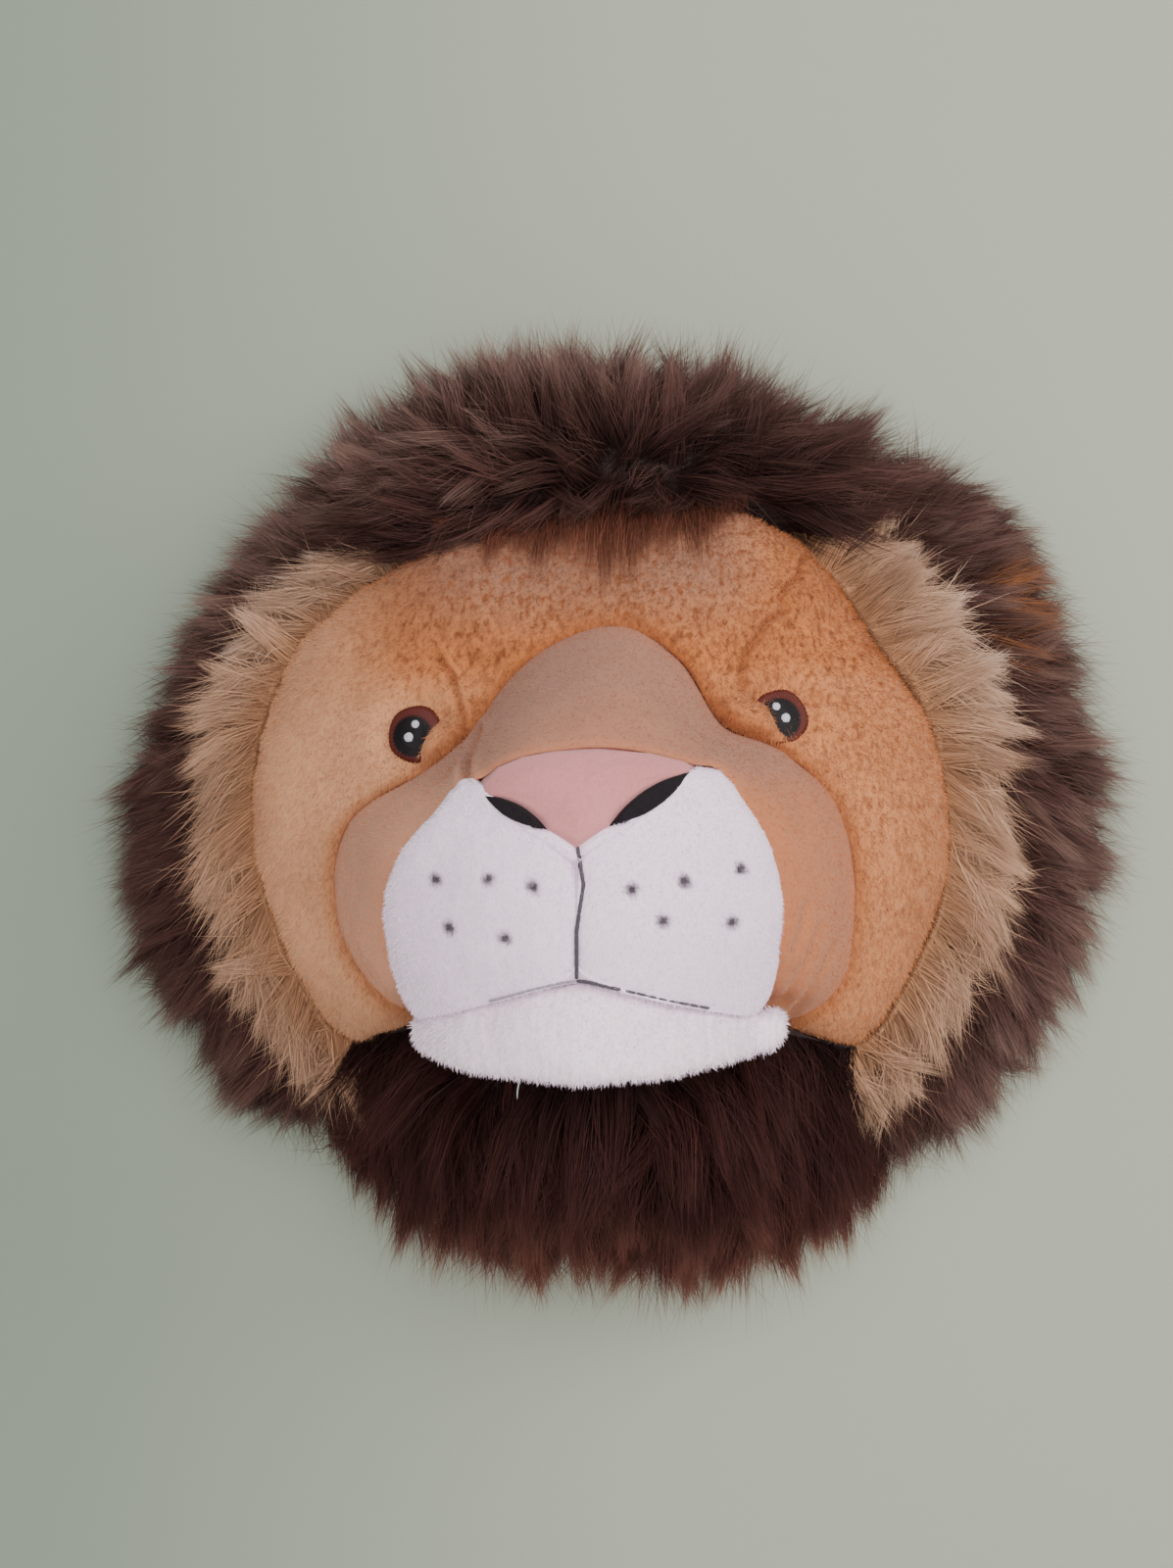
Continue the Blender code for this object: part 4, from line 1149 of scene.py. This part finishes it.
def mane_place(u, v, span=MANE_SPAN):
    angle = lerp(span[0], span[1], u)
    crown = between(angle, 54, 127, 14)
    over_face = between(angle, 54, 126, 6)
    beside = np.maximum(around(FUR_LINE, angle) - 17, around(FACE_OUTLINE, angle) + 16)
    inner = lerp(beside, around(FACE_OUTLINE, angle) + CROWN_SEAM, over_face)
    outer = around(MANE_TIPS, angle) - 22
    side = np.interp(v, (0, 0.35, 0.7, 1, 1.1), (44, 44, 38, 22, 12))
    top = np.interp(v, (0, 0.12, 0.3, 0.55, 0.8, 1, 1.1), (92, 100, 100, 88, 62, 26, 14))
    x, z = polar(angle, lerp(inner, outer, np.minimum(v, 1) - 0.04 * np.maximum(v - 1, 0)))
    return spot(x, z, lerp(side, top, crown))


def ruff_place(u, v, span):
    angle = lerp(span[0], span[1], u)
    inner = around(FACE_OUTLINE, angle) - 1.2
    outer = np.maximum(around(FUR_LINE, angle) - 18, inner + 11)
    x, z = polar(angle, lerp(inner, outer, v))
    return spot(x, z, np.interp(v, (0, 0.06, 0.14, 0.35, 0.7, 1, 1.1), (74, 77, 80, 77, 69, 56, 48)))


def beard_place(u, v):
    angle = lerp(MANE_SPAN[1] + 0.5, MANE_SPAN[0] + 359.5, u)
    middle = np.sin(np.pi * np.clip(u, 0, 1))
    corner = bell(u - 0.07, 0.10) + bell(u - 0.93, 0.10)
    x0, z0 = polar(angle, around(FACE_OUTLINE, angle) + 1.3 - 15 * corner)
    x1 = lerp(-116, 121, smooth(u) * 0.25 + u * 0.75)
    z1 = along(BEARD_TIPS, x1) + 30
    drop = np.interp(v, (0, 0.16, 0.42, 0.75, 1, 1.1), (0.0, 0.02, 0.28, 0.62, 1.0, 1.1))
    high = lerp(99, 148, np.maximum(middle, 0) ** 0.8)
    height = lerp(high, lerp(34, 44, middle), drop)
    return spot(lerp(x0, x1, v * 0.92), lerp(z0, z1, v), height)


def under_cloth(name, place, steps, rows, back=BODY_BACK):
    """The closed cloth body under a fur, from its place function."""
    u = np.linspace(0, 1, steps)[:, None]
    v = np.linspace(0, 1.1, rows)[None]
    top = place(u, v)
    low = top[:, [0, -1]].copy()
    low[:, :, 1] = -back
    rings = np.concatenate((low[:, :1], top, low[:, 1:]), axis=1)
    return skin(name, rings)


# The cloth is as dark as the strands' roots: painted shade in the gaps between the locks.
def dark_cloth(name, colour, pit):
    return pile_material(name, colour, pit, colour, 2.4, 0.7, 0.3, sheen=0.1, bump=0.8, depth=0.8)


print("mane cloth at the top:", mane_place(np.array(0.5), np.array(0.5)).round(1))

# %% [markdown]
# ## Growing strands
#
# A particle system would comb this fur in minutes, but its hair isn't a mesh and would be lost when the
# head is exported. So each strand is a narrow ribbon of two spans that ends in a point. Roots are scattered
# over the cloth, and each strand belongs to a lock: it starts where it stands and ends near its lock's tip,
# which gives the wisps. Two spans are fewer than a curve wants, but they leave room for twice as many
# strands, and this fur is fine. Each corner carries four values for the material: how far along it is, how
# light its strand and its lock are, and whether it lies in a patch of another colour.

# %% Scatter roots and bend strands
MIDDLE = 0.52


def scatter(place, count, rng, v_range=(0.0, 1.0)):
    """Roots spread evenly over the cloth, and the direction out of the cloth at each."""
    u_edges, v_edges = np.linspace(0, 1, 161), np.linspace(*v_range, 25)
    grid = place(u_edges[:, None], v_edges[None])
    area = np.cross(grid[1:, :-1] - grid[:-1, :-1], grid[:-1, 1:] - grid[:-1, :-1])
    area = np.linalg.norm(area, axis=-1).ravel()
    cell = rng.choice(len(area), count, p=area / area.sum())
    row, column = np.divmod(cell, 24)
    u = (row + rng.random(count)) / 160
    v = lerp(v_range[0], v_range[1], (column + rng.random(count)) / 24)
    d = 0.004
    out = unit(np.cross(place(u + d, v) - place(u - d, v), place(u, v + d) - place(u, v - d)))
    root = place(u, v)
    toward = unit(root * (1, 0, 1)) * 0.6 + np.array((0.0, -1.0, 0.0))
    out = np.where(dot(out, toward) < 0, -out, out)
    return root, out


def nearest(places, others):
    """For each place, which of the others is nearest."""
    found = []
    for part in np.array_split(places, max(len(places) // 2000, 1)):
        found.append(np.argmin(((part[:, None] - others[None]) ** 2).sum(axis=-1), axis=1))
    return np.concatenate(found)


def lying(out, way):
    """The direction in which a strand lies, from its way over the wall in degrees."""
    turn = np.radians(way)
    plain = np.stack((np.cos(turn), np.zeros_like(turn), np.sin(turn)), axis=-1)
    return unit(plain - out * dot(plain, out) * 0.7)


def strands(name, roots, outs, tips, middles, width, seeds, locks, patch, rng, tone=1.0):
    """Ribbons of two spans from roots over middles to tips, with what the material needs on their corners."""
    n = len(roots)
    t = np.array((0.0, MIDDLE, 1.0))[None, :, None]
    line = (1 - t) ** 2 * roots[:, None] + 2 * t * (1 - t) * middles[:, None] + t ** 2 * tips[:, None]
    ahead = unit(2 * (1 - t) * (middles - roots)[:, None] + 2 * t * (tips - middles)[:, None])
    side = unit(np.cross(ahead, outs[:, None]))
    roll = np.radians(rng.normal(0, 38, n))[:, None, None]
    side = side * np.cos(roll) + np.cross(ahead, side) * np.sin(roll)
    half = width[:, None, None] * np.array((0.5, 0.42, 0.0))[None, :, None]
    corners = np.concatenate(((line - side * half)[:, :2], (line + side * half)[:, :2], line[:, 2:]), axis=1)
    first = 5 * np.arange(n)[:, None, None]
    pattern = np.array(((0, 2, 3), (0, 3, 1), (1, 3, 4)))
    faces = (first + pattern).reshape(-1, 3)
    made = add_mesh(name, corners.reshape(-1, 3), faces)
    run = np.array((0.0, MIDDLE, 0.0, MIDDLE, 1.0))[None] * np.broadcast_to(tone, (n,))[:, None]
    carried = np.stack(np.broadcast_arrays(run, seeds[:, None], locks[:, None], patch[:, None]), axis=-1)
    paint(made, "strand", carried)
    unwrap(made, n, ((0.12, 0.1), (0.2, 0.5), (0.88, 0.1), (0.8, 0.5), (0.5, 0.92)), faces.ravel())
    return made


def grow(name, place, way, length, count, lock_count, seed, width=0.32, lift=22.0, pull=0.74, turn=13.0,
         stray=0.12, v_range=(0.0, 1.0), hold=None, patch=None, droop=0.06, wild=None, tone=None):
    """A fur: strands that lie the given way, gathered into locks, as long as length and as thick as width."""
    rng = np.random.default_rng(seed)
    lock_root, lock_out = scatter(place, lock_count, rng, v_range)
    lock_light, lock_luck = rng.random(lock_count), rng.random(lock_count)
    lock_luck = np.clip(0.75 * lock_luck + 0.25 * (0.5 + 0.8 * cloud(lock_root, 15, seed)), 0, 1)
    lock_turn, lock_lift = rng.normal(0, turn, lock_count), rng.normal(lift, lift * 0.45, lock_count)
    if wild is not None:
        loose = wild(lock_root)
        lock_turn, lock_lift = lock_turn * (1 + 2.5 * loose), lock_lift + 34 * loose
    lock_long = rng.uniform(0.78, 1.15, lock_count)
    root, out = scatter(place, count, rng, v_range)
    mine = nearest(root + rng.normal(0, 1.2, (count, 3)), lock_root)

    def bend(start, normal, angle, rise, long):
        flat = lying(normal, angle)
        rise = np.radians(rise)[:, None]
        far = start + long[:, None] * (flat * np.cos(rise) + normal * np.sin(rise))
        far[:, 2] -= droop * long
        near = start + long[:, None] * (flat * 0.30 + normal * (0.22 + 0.35 * np.sin(rise)))
        return near, far

    free = rng.random(count) < stray
    long = length(root) * lock_long[mine] * np.where(free, rng.uniform(0.7, 1.25, count),
                                                     1.12 - 0.6 * rng.random(count) ** 1.5)
    loose = np.where(free, 17, 5)
    near, far = bend(root, out, way(root) + lock_turn[mine] + rng.normal(0, 1, count) * loose,
                     lock_lift[mine] + rng.normal(0, 1, count) * loose, long)
    lock_near, lock_far = bend(lock_root, lock_out, way(lock_root) + lock_turn, lock_lift,
                               length(lock_root) * lock_long)
    hold_on = np.where(free, 0.15, np.minimum(pull * rng.uniform(0.6, 1.15, count), 0.95))[:, None]
    reached = (long / (length(lock_root) * lock_long)[mine])[:, None]
    lock_tip = lock_root[mine] + (lock_far - lock_root)[mine] * np.minimum(reached, 1.1)
    far = lerp(far, lock_tip, hold_on) + rng.normal(0, 0.6, (count, 3))
    near = lerp(near, lock_near[mine], hold_on * 0.45)
    if hold is not None:
        luck = np.where(free, rng.random(count) * 1.15, lock_luck[mine])
        far = hold(far, luck, rng.random(count) * np.where(free, 0.4, 1.0))
    shade = patch(root) if patch is not None else np.ones(count)
    depth = tone(root) if tone is not None else 1.0
    wide = width * rng.uniform(0.7, 1.25, count) * np.where(free, 0.75, 1.0)
    return strands(name, root - out * 0.6, out, far, near, wide, rng.random(count), lock_light[mine], shade,
                   rng, depth)


print("strand helpers ready")

# %% [markdown]
# ## Mane
#
# The mane is a C of dark brown pile, 35 to 45 mm long. It fans out from a parting over the forehead, leans
# down a little at both sides under its own weight, and its tips break the outline into wisps. The base of
# each strand is darker than its tip, since little light reaches it.

# %% Which way the mane lies
PARTING = (9.0, 127.0)


def mane_way(places):
    x, z = places[:, 0], places[:, 2]
    angle = np.degrees(np.arctan2(z, x))
    outward_way = np.radians(angle - 24 * np.cos(np.radians(angle)))
    side = (x - PARTING[0] + 9 * cloud(places, 26, 27)) / 40
    rise = (z - PARTING[1] + 7 * cloud(places, 20, 28)) / 17
    parted = np.arctan2(0.75 * np.tanh(rise), np.tanh(side))
    share = np.exp(-((x - PARTING[0]) / 78) ** 2 - (np.maximum(abs(z - 118) - 12, 0) / 30) ** 2)
    dx = lerp(np.cos(outward_way), np.cos(parted), share)
    dz = lerp(np.sin(outward_way), np.sin(parted), share)
    return np.degrees(np.arctan2(dz, dx)) + (8 + 44 * share) * cloud(places, 15, 21)


def mane_length(places):
    crown = between(seen(places)[0] % 360, 50, 134, 24)
    return lerp(40.0, 34.0, crown) + 3 * cloud(places, 25, 22)


def hold_in(tips, luck, own):
    """Keeps the tips near the head's outline: only a few wisps pass it, and few hang over the forehead."""
    angle, radius = seen(tips)
    wisp = 8 * bell(angle + 5, 5) * luck
    uneven = 7 * cloud(tips, 24, 29) + 4 * cloud(tips, 9, 30)
    most = around(MANE_TIPS, angle) + 3 + 22 * luck - 30 * own ** 0.85 + wisp + uneven
    most = np.minimum(most, 216 - 18 * abs(np.sin(np.radians(angle))))
    least = (around(FACE_OUTLINE, angle) - 2 - 7 * own ** 3) * between(angle % 360, 56, 128, 7)
    factor = np.maximum(np.minimum(most / radius, 1.0), least / radius)
    held = tips.copy()
    held[:, 0] *= factor
    held[:, 2] *= factor
    held[:, 1] = np.minimum(held[:, 1], -4.0)
    return held


def parting(places):
    """Where the crown's hair stands up and lies any way: 1 on the parting and 0 away from it."""
    x, z = places[:, 0] - PARTING[0], places[:, 2] - PARTING[1]
    return np.exp(-(x / 45) ** 2 - (z / 15) ** 2)


# How light the mane is at each angle round the head: painted shade, darker where less light falls.
MANE_TONE = ((0, 1.0), (40, 0.9), (65, 0.85), (95, 1.1), (140, 1.1), (165, 0.78), (195, 0.72), (226, 0.8),
             (313, 0.9))


def mane_tone(places):
    """Painted shade: strands are darker on the left, where less light falls, and by the forehead, under the
    crown.
    """
    angle, radius = seen(places)
    past = radius - around(FACE_OUTLINE, angle)
    crown = between(angle % 360, 48, 136, 8)
    return around(MANE_TONE, angle) * (1 - crown * (0.5 - 0.5 * smooth((past - 2) / 30)))


def amber(places):
    away = np.hypot((places[:, 0] - 139) / 7, (places[:, 2] - 74) / 15)
    return smooth((away - 0.5) / 0.9)


print("the mane lies", mane_way(np.array([[180.0, -30, 0]])).round(1), "degrees at the right")

# %% Build the mane
mane_material = fur_material("Dark brown long pile", (0.017, 0.0056, 0.0052), (0.067, 0.0285, 0.0235),
                             (0.182, 0.108, 0.088), (0.24, 0.090, 0.034), own=0.8, lock=0.5, sheen=0.15)
brown_cloth = dark_cloth("Brown cloth under the fur", (0.022, 0.009, 0.007), (0.008, 0.003, 0.003))
fit(under_cloth("mane_cloth", mane_place, 150, 22), brown_cloth, ["mane"])
# Each part of the mane has its span of angles, its number of locks, and how far its locks lift and turn.
MANE_PARTS = {"mane_right": ((-46.5, 46.0), 320, 22, 18), "mane_crown": ((40.0, 140.0), 460, 27, 21),
              "mane_left": ((134.0, 226.0), 320, 22, 18)}
for seed, (name, (span, locks, lift, turn)) in enumerate(MANE_PARTS.items()):
    made = grow(name, lambda u, v, s=span: mane_place(u, v, s), mane_way, mane_length, 41000, locks,
                31 + seed, lift=lift, turn=turn, stray=0.17, pull=0.88, hold=hold_in, patch=amber,
                v_range=(0.0, 1.08), wild=parting, tone=mane_tone)
    fit(made, mane_material, ["mane"])

# %% [markdown]
# The crown also drops a thin fringe on the forehead. Its strands are few, so each tuft is placed one by one:
# it starts at the seam under the crown and lies just over the dome of the face.

# %% Build the fringe
# Each tuft has its place across the forehead and its reach over it, in millimetres.
TUFTS = ((-58, 4), (-50, 5), (-43, 8), (-37, 15), (-31, 9), (-26, 12), (-19, 17), (-13, 11), (-8, 13),
         (-2, 16), (3, 22), (8, 15), (12, 20), (17, 13), (23, 16), (29, 10), (34, 18), (40, 12), (46, 8))


def build_fringe():
    rng = np.random.default_rng(36)
    tufts, reach = np.array(TUFTS, float).T
    count = 3600
    mine = rng.integers(0, len(tufts), count)
    x = tufts[mine] + rng.normal(0, 3.2, count)
    angle = np.degrees(np.arctan2(107, x))
    radius = around(FACE_OUTLINE, angle) + rng.uniform(-1.0, 7.0, count)
    root_x, root_z = polar(angle, radius)
    root = spot(root_x, root_z, rng.uniform(98, 107, count))
    long = reach[mine] * (1.75 - 1.5 * rng.random(count) ** 0.75)
    tip_x = lerp(root_x, tufts[mine] + (tufts[mine] - 9) * 0.14, 0.45) + rng.normal(0, 1.8, count)
    tip_z = around(FACE_OUTLINE, angle) - long
    tip = spot(tip_x, tip_z, face_skin(tip_x, tip_z) + 2.2 + rng.uniform(0, 2, count))
    half_x, half_z = lerp(root_x, tip_x, 0.5), lerp(root_z, tip_z, 0.4)
    near = spot(half_x, half_z, face_skin(half_x, half_z) + 9)
    out = unit(np.array((0.0, -1.0, 0.5)) + 0 * root)
    wide = 0.26 * rng.uniform(0.7, 1.25, count)
    light = rng.random(len(tufts))[mine]
    return strands("mane_fringe", root, out, tip, near, wide, rng.random(count), light, np.ones(count), rng)


fringe_material = fur_material("Reddish brown fringe", (0.030, 0.0095, 0.0070), (0.105, 0.034, 0.021),
                               (0.22, 0.085, 0.050), own=0.7, lock=0.4, sheen=0.1)
fit(build_fringe(), fringe_material, ["mane"])

# %% [markdown]
# ## Cheek ruffs
#
# Between face and mane stands a crescent of tan fur on each side. It could be one fur with the mane, dyed
# in two colours, but the seam between them shows, so it has its own cloth. Its strands are lighter and a
# little shorter, and their gathered tips lie on the brown as pale points.

# %% Build the ruffs
def ruff_way(places):
    angle = seen(places)[0]
    tilt = 20 * np.cos(np.radians(angle))
    rising = 16 * between(angle, 36, 60, 14) - 10 * between(angle % 360, 128, 146, 14)
    return angle - tilt + rising + 11 * cloud(places, 22, 23)


def ruff_length(places):
    return 33.0 + 5 * cloud(places, 16, 24)


def ruff_tone(places):
    """Strands by the face are as orange as it is, and only the outer ones have pale tips."""
    angle, radius = seen(places)
    past = radius - around(FACE_OUTLINE, angle)
    high_left, middle_left = between(angle % 360, 120, 158, 12), between(angle % 360, 168, 215, 12)
    return (0.55 + 0.45 * smooth(past / 22)) * (1 + 0.3 * high_left - 0.16 * middle_left)


def hold_ruff(tips, luck, own):
    angle, radius = seen(tips)
    peak = 14 * bell(angle - 49, 6) - 5 * bell(angle - 30, 9)
    peak -= 6 * bell(angle - 152, 14)
    factor = np.minimum((around(FUR_LINE, angle) - 6 + 25 * luck - 15 * own + peak) / radius, 1.0)
    return tips * np.stack((factor, np.ones_like(factor), factor), axis=-1)


RUFF_HAIR = {"cheek_ruff_left": (126.5, 226.0), "cheek_ruff_right": (-46.5, 56.0)}
ruff_material = fur_material("Tan long pile", (0.33, 0.16, 0.080), (0.49, 0.300, 0.198), (0.69, 0.535, 0.44),
                             own=0.45, lock=0.25, sheen=0.2)
tan_cloth = dark_cloth("Tan cloth under the fur", (0.34, 0.17, 0.085), (0.20, 0.09, 0.045))
for seed, (node, span) in enumerate(RUFF_HAIR.items()):
    body = under_cloth(node + "_cloth", lambda u, v, s=span: ruff_place(u, v, s), 90, 12)
    fit(body, tan_cloth, [node])
    made = grow(node + "_fur", lambda u, v, s=span: ruff_place(u, v, s), ruff_way, ruff_length, 24000, 125,
                41 + seed, width=0.32, lift=18.0, pull=0.86, turn=19.0, hold=hold_ruff, v_range=(0.0, 1.0),
                tone=ruff_tone)
    fit(made, ruff_material, [node])

# %% [markdown]
# ## Beard
#
# The beard hangs from under the lip, darker than the mane. Its strands fall straight down, fan a little to
# both sides, and end in uneven pointed locks. Hair that is only combed by its own weight could be
# simulated, but the same recipe as for the mane is quicker, and it gives the same beard each time.

# %% Build the beard
def beard_way(places):
    return -90 + places[:, 0] * 0.16 + 15 * cloud(places, 17, 25)


def beard_length(places):
    return 42.0 + 5 * cloud(places, 20, 26)


def beard_tone(places):
    """The top of the beard stays dark in the lip's shadow."""
    return 0.62 + 0.38 * smooth((-88 - places[:, 2]) / 55)


def hold_beard(tips, luck, own):
    held = tips.copy()
    least = along(BEARD_TIPS, tips[:, 0]) - 1 - 22 * luck + 27 * own ** 0.9 + 5 * cloud(tips, 15, 31)
    held[:, 2] = np.maximum(held[:, 2], np.maximum(least, -202))
    held[:, 1] = np.minimum(held[:, 1], -5.0)
    return held


beard_material = fur_material("Very dark brown long pile", (0.011, 0.0030, 0.0028), (0.038, 0.0112, 0.0097),
                              (0.175, 0.066, 0.047), own=0.9, lock=0.4, sheen=0.12)
fit(under_cloth("beard_cloth", beard_place, 90, 22), brown_cloth, ["beard"])
beard = grow("beard_locks", beard_place, beard_way, beard_length, 46000, 250, 51, lift=17.0, turn=15.0,
             pull=0.86, stray=0.16, hold=hold_beard, v_range=(-0.04, 1.08), droop=0.03, tone=beard_tone)
fit(beard, beard_material, ["beard"])

# %% [markdown]
# ## Back
#
# The back is a disc of brown woven cloth that lies flat on the wall. Nobody sees much of it, so it stays
# plain: a rounded edge, a ring of gathers where the furs are sewn on, and a weave in its material.

# %% Build the back panel
def build_weave():
    """A plain weave: two crossing sets of threads, as height and shade."""
    tree, given, out = new_group("Plain weave", (("Thread", "NodeSocketFloat", 0.6),),
                                 (("Height", "NodeSocketFloat"), ("Shade", "NodeSocketFloat")))
    places = in_millimetres(tree)
    parts = tree.nodes.new("ShaderNodeSeparateXYZ")
    tree.links.new(places, parts.inputs[0])
    waves = []
    for axis in (0, 2):
        turned = math_node(tree, "DIVIDE", parts.outputs[axis], given.outputs["Thread"])
        waves.append(math_node(tree, "SINE", math_node(tree, "MULTIPLY", turned, 3.14159)))
    crossed = math_node(tree, "MULTIPLY", waves[0], waves[1])
    uneven = noise_node(tree, places, 5.0, 2.0)
    tree.links.new(crossed, out.inputs["Height"])
    tree.links.new(math_node(tree, "MULTIPLY_ADD", crossed, 0.25, uneven), out.inputs["Shade"])
    return tree


def build_back():
    way = np.arange(240) * 1.5
    profile = ((0.0, 0.05), (0.5, 0.0), (0.93, 0.0), (0.975, 0.5), (0.995, 1.6), (1.0, 3.0), (0.995, 4.6),
               (0.975, 5.6), (0.9, 6.0), (0.3, 6.0))
    rings = []
    for share, height in profile:
        ripple = 0.25 * np.sin(np.radians(way * 40)) * smooth((share - 0.9) / 0.08) * (1 if height > 0 else 0)
        x, z = polar(way, BACK_RADIUS * max(share, 0.03) + ripple)
        rings.append(spot(x, z, np.full(240, height)))
    return skin("back_cloth_disc", np.array(rings))


woven, woven_tree, woven_shader = start_material("Brown woven cloth", 0.9, 0.2)
weave = place_group(woven_tree, build_weave(), {"Thread": 0.7})
shade = mix_node(woven_tree, weave.outputs["Shade"], (0.035, 0.02, 0.015, 1), (0.095, 0.058, 0.045, 1))
woven_tree.links.new(shade, woven_shader.inputs["Base Color"])
bump_node(woven_tree, weave.outputs["Height"], 0.5, 0.25, woven_shader)
back = fit(build_back(), woven, ["back_panel"])

# %% [markdown]
# ## Wall, floor, light and camera
#
# The head hangs on a plain pale wall with a green-grey cast, lit softly from the upper right. The wall and
# the floor are stage pieces. Both are painted on one side only, so that a camera behind or below still sees
# the head. The wall's paint is a little darker on the left, as in the photograph, where less of the
# window's light reaches it. No light from the room gets behind the head, so one more lamp stands there. It
# shines through the wall and lights the cloth backs alone, for views from behind. The camera stands a little
# to the right of the middle, eight tenths of a metre away, as in the photograph.

# %% Wall and floor
def stage_plane(name, corners, colour, shaded=None):
    made = bpy.data.materials.new(name)
    made.use_nodes = True
    tree = made.node_tree
    shader = tree.nodes["Principled BSDF"]
    shader.inputs["Base Color"].default_value = (*colour, 1)
    shader.inputs["Roughness"].default_value = 0.9
    if shaded is not None:
        parts = tree.nodes.new("ShaderNodeSeparateXYZ")
        tree.links.new(in_millimetres(tree), parts.inputs[0])
        share = step_node(tree, parts.outputs[0], -280, 60)
        tree.links.new(mix_node(tree, share, (*shaded, 1), (*colour, 1)), shader.inputs["Base Color"])
    clear = tree.nodes.new("ShaderNodeBsdfTransparent")
    both = tree.nodes.new("ShaderNodeMixShader")
    facing = tree.nodes.new("ShaderNodeNewGeometry")
    tree.links.new(facing.outputs["Backfacing"], both.inputs[0])
    tree.links.new(shader.outputs[0], both.inputs[1])
    tree.links.new(clear.outputs[0], both.inputs[2])
    tree.links.new(both.outputs[0], tree.nodes["Material Output"].inputs["Surface"])
    mesh = bpy.data.meshes.new(name)
    mesh.from_pydata(corners, [], [(0, 1, 2, 3)])
    mesh.materials.append(made)
    plane = put_in(name, mesh)
    plane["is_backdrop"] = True
    return plane


WALL_Y, FLOOR_Z, REACH = 0.002, -0.62, 2.2
wall = stage_plane("wall", [(-REACH, WALL_Y, FLOOR_Z), (REACH, WALL_Y, FLOOR_Z), (REACH, WALL_Y, 1.8),
                            (-REACH, WALL_Y, 1.8)], (0.33, 0.355, 0.285), (0.225, 0.270, 0.215))
floor = stage_plane("floor", [(-REACH, -REACH, FLOOR_Z), (REACH, -REACH, FLOOR_Z), (REACH, WALL_Y, FLOOR_Z),
                              (-REACH, WALL_Y, FLOOR_Z)], (0.6, 0.6, 0.57))
for plane in (wall, floor):
    print(plane.name, "faces", tuple(round(v, 2) for v in plane.data.polygons[0].normal))

# %% Lights and world
def add_light(name, place, target, size, power, colour):
    lamp = bpy.data.lights.new(name, "AREA")
    lamp.shape = "DISK"
    lamp.size = size
    lamp.energy = power
    lamp.color = colour
    made = put_in(name, lamp)
    made.location = place
    made.rotation_euler = (Vector(target) - Vector(place)).to_track_quat("-Z", "Y").to_euler()
    return made


add_light("window", (1.20, -0.85, 0.60), (0, -0.05, 0), 0.9, 13.0, (1.0, 0.98, 0.95))
add_light("room", (0.15, -1.55, 0.20), (0, -0.05, 0), 1.5, 32.0, (1.0, 0.965, 0.975))
world = bpy.data.worlds.new("soft room")
bpy.context.scene.world = world
world.use_nodes = True
world.node_tree.nodes["Background"].inputs["Color"].default_value = (0.80, 0.82, 0.80, 1)
world.node_tree.nodes["Background"].inputs["Strength"].default_value = 0.45

# %% A lamp for the back
behind = add_light("behind", (0.30, 1.30, 0.35), (0, 0, 0), 0.9, 18.0, (1.0, 0.98, 0.96))
lit_from_behind = bpy.data.collections.new("lit from behind")
for piece in bpy.data.objects:
    if piece == back or piece.name.endswith("_cloth"):
        lit_from_behind.objects.link(piece)
behind.light_linking.receiver_collection = lit_from_behind
in_its_way = bpy.data.collections.new("in the way of the light behind")
in_its_way.objects.link(wall)
in_its_way.collection_objects[0].light_linking.link_state = "EXCLUDE"
behind.light_linking.blocker_collection = in_its_way

# %% Camera
PHOTO_HEIGHT, FOCAL_PIXELS, SENSOR = 1600, 1968.5, 36.0
camera_data = bpy.data.cameras.new("camera")
camera_data.sensor_fit = "AUTO"
camera_data.sensor_width = SENSOR
camera_data.lens = FOCAL_PIXELS / PHOTO_HEIGHT * SENSOR
camera = put_in("camera", camera_data)
camera.location = (0.031352, -0.798972, 0.0095)
camera.rotation_euler = (np.radians(90), 0, np.radians(3))
bpy.context.scene.camera = camera
print("lens:", round(camera_data.lens, 2), "mm")

# %% [markdown]
# ## Last checks
#
# The strands may stand a little proud of the solids, so how far the head has grown past them is printed.
# The strands may stand a little proud of the solids, but the head must keep its size.

# %% Compare the sizes
low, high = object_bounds()
grown_by = [round((v - c) / MM, 1) for v, c in zip((*low, *high), (*cad_low, *cad_high))]
print("grown past the solids, in millimetres:", grown_by)
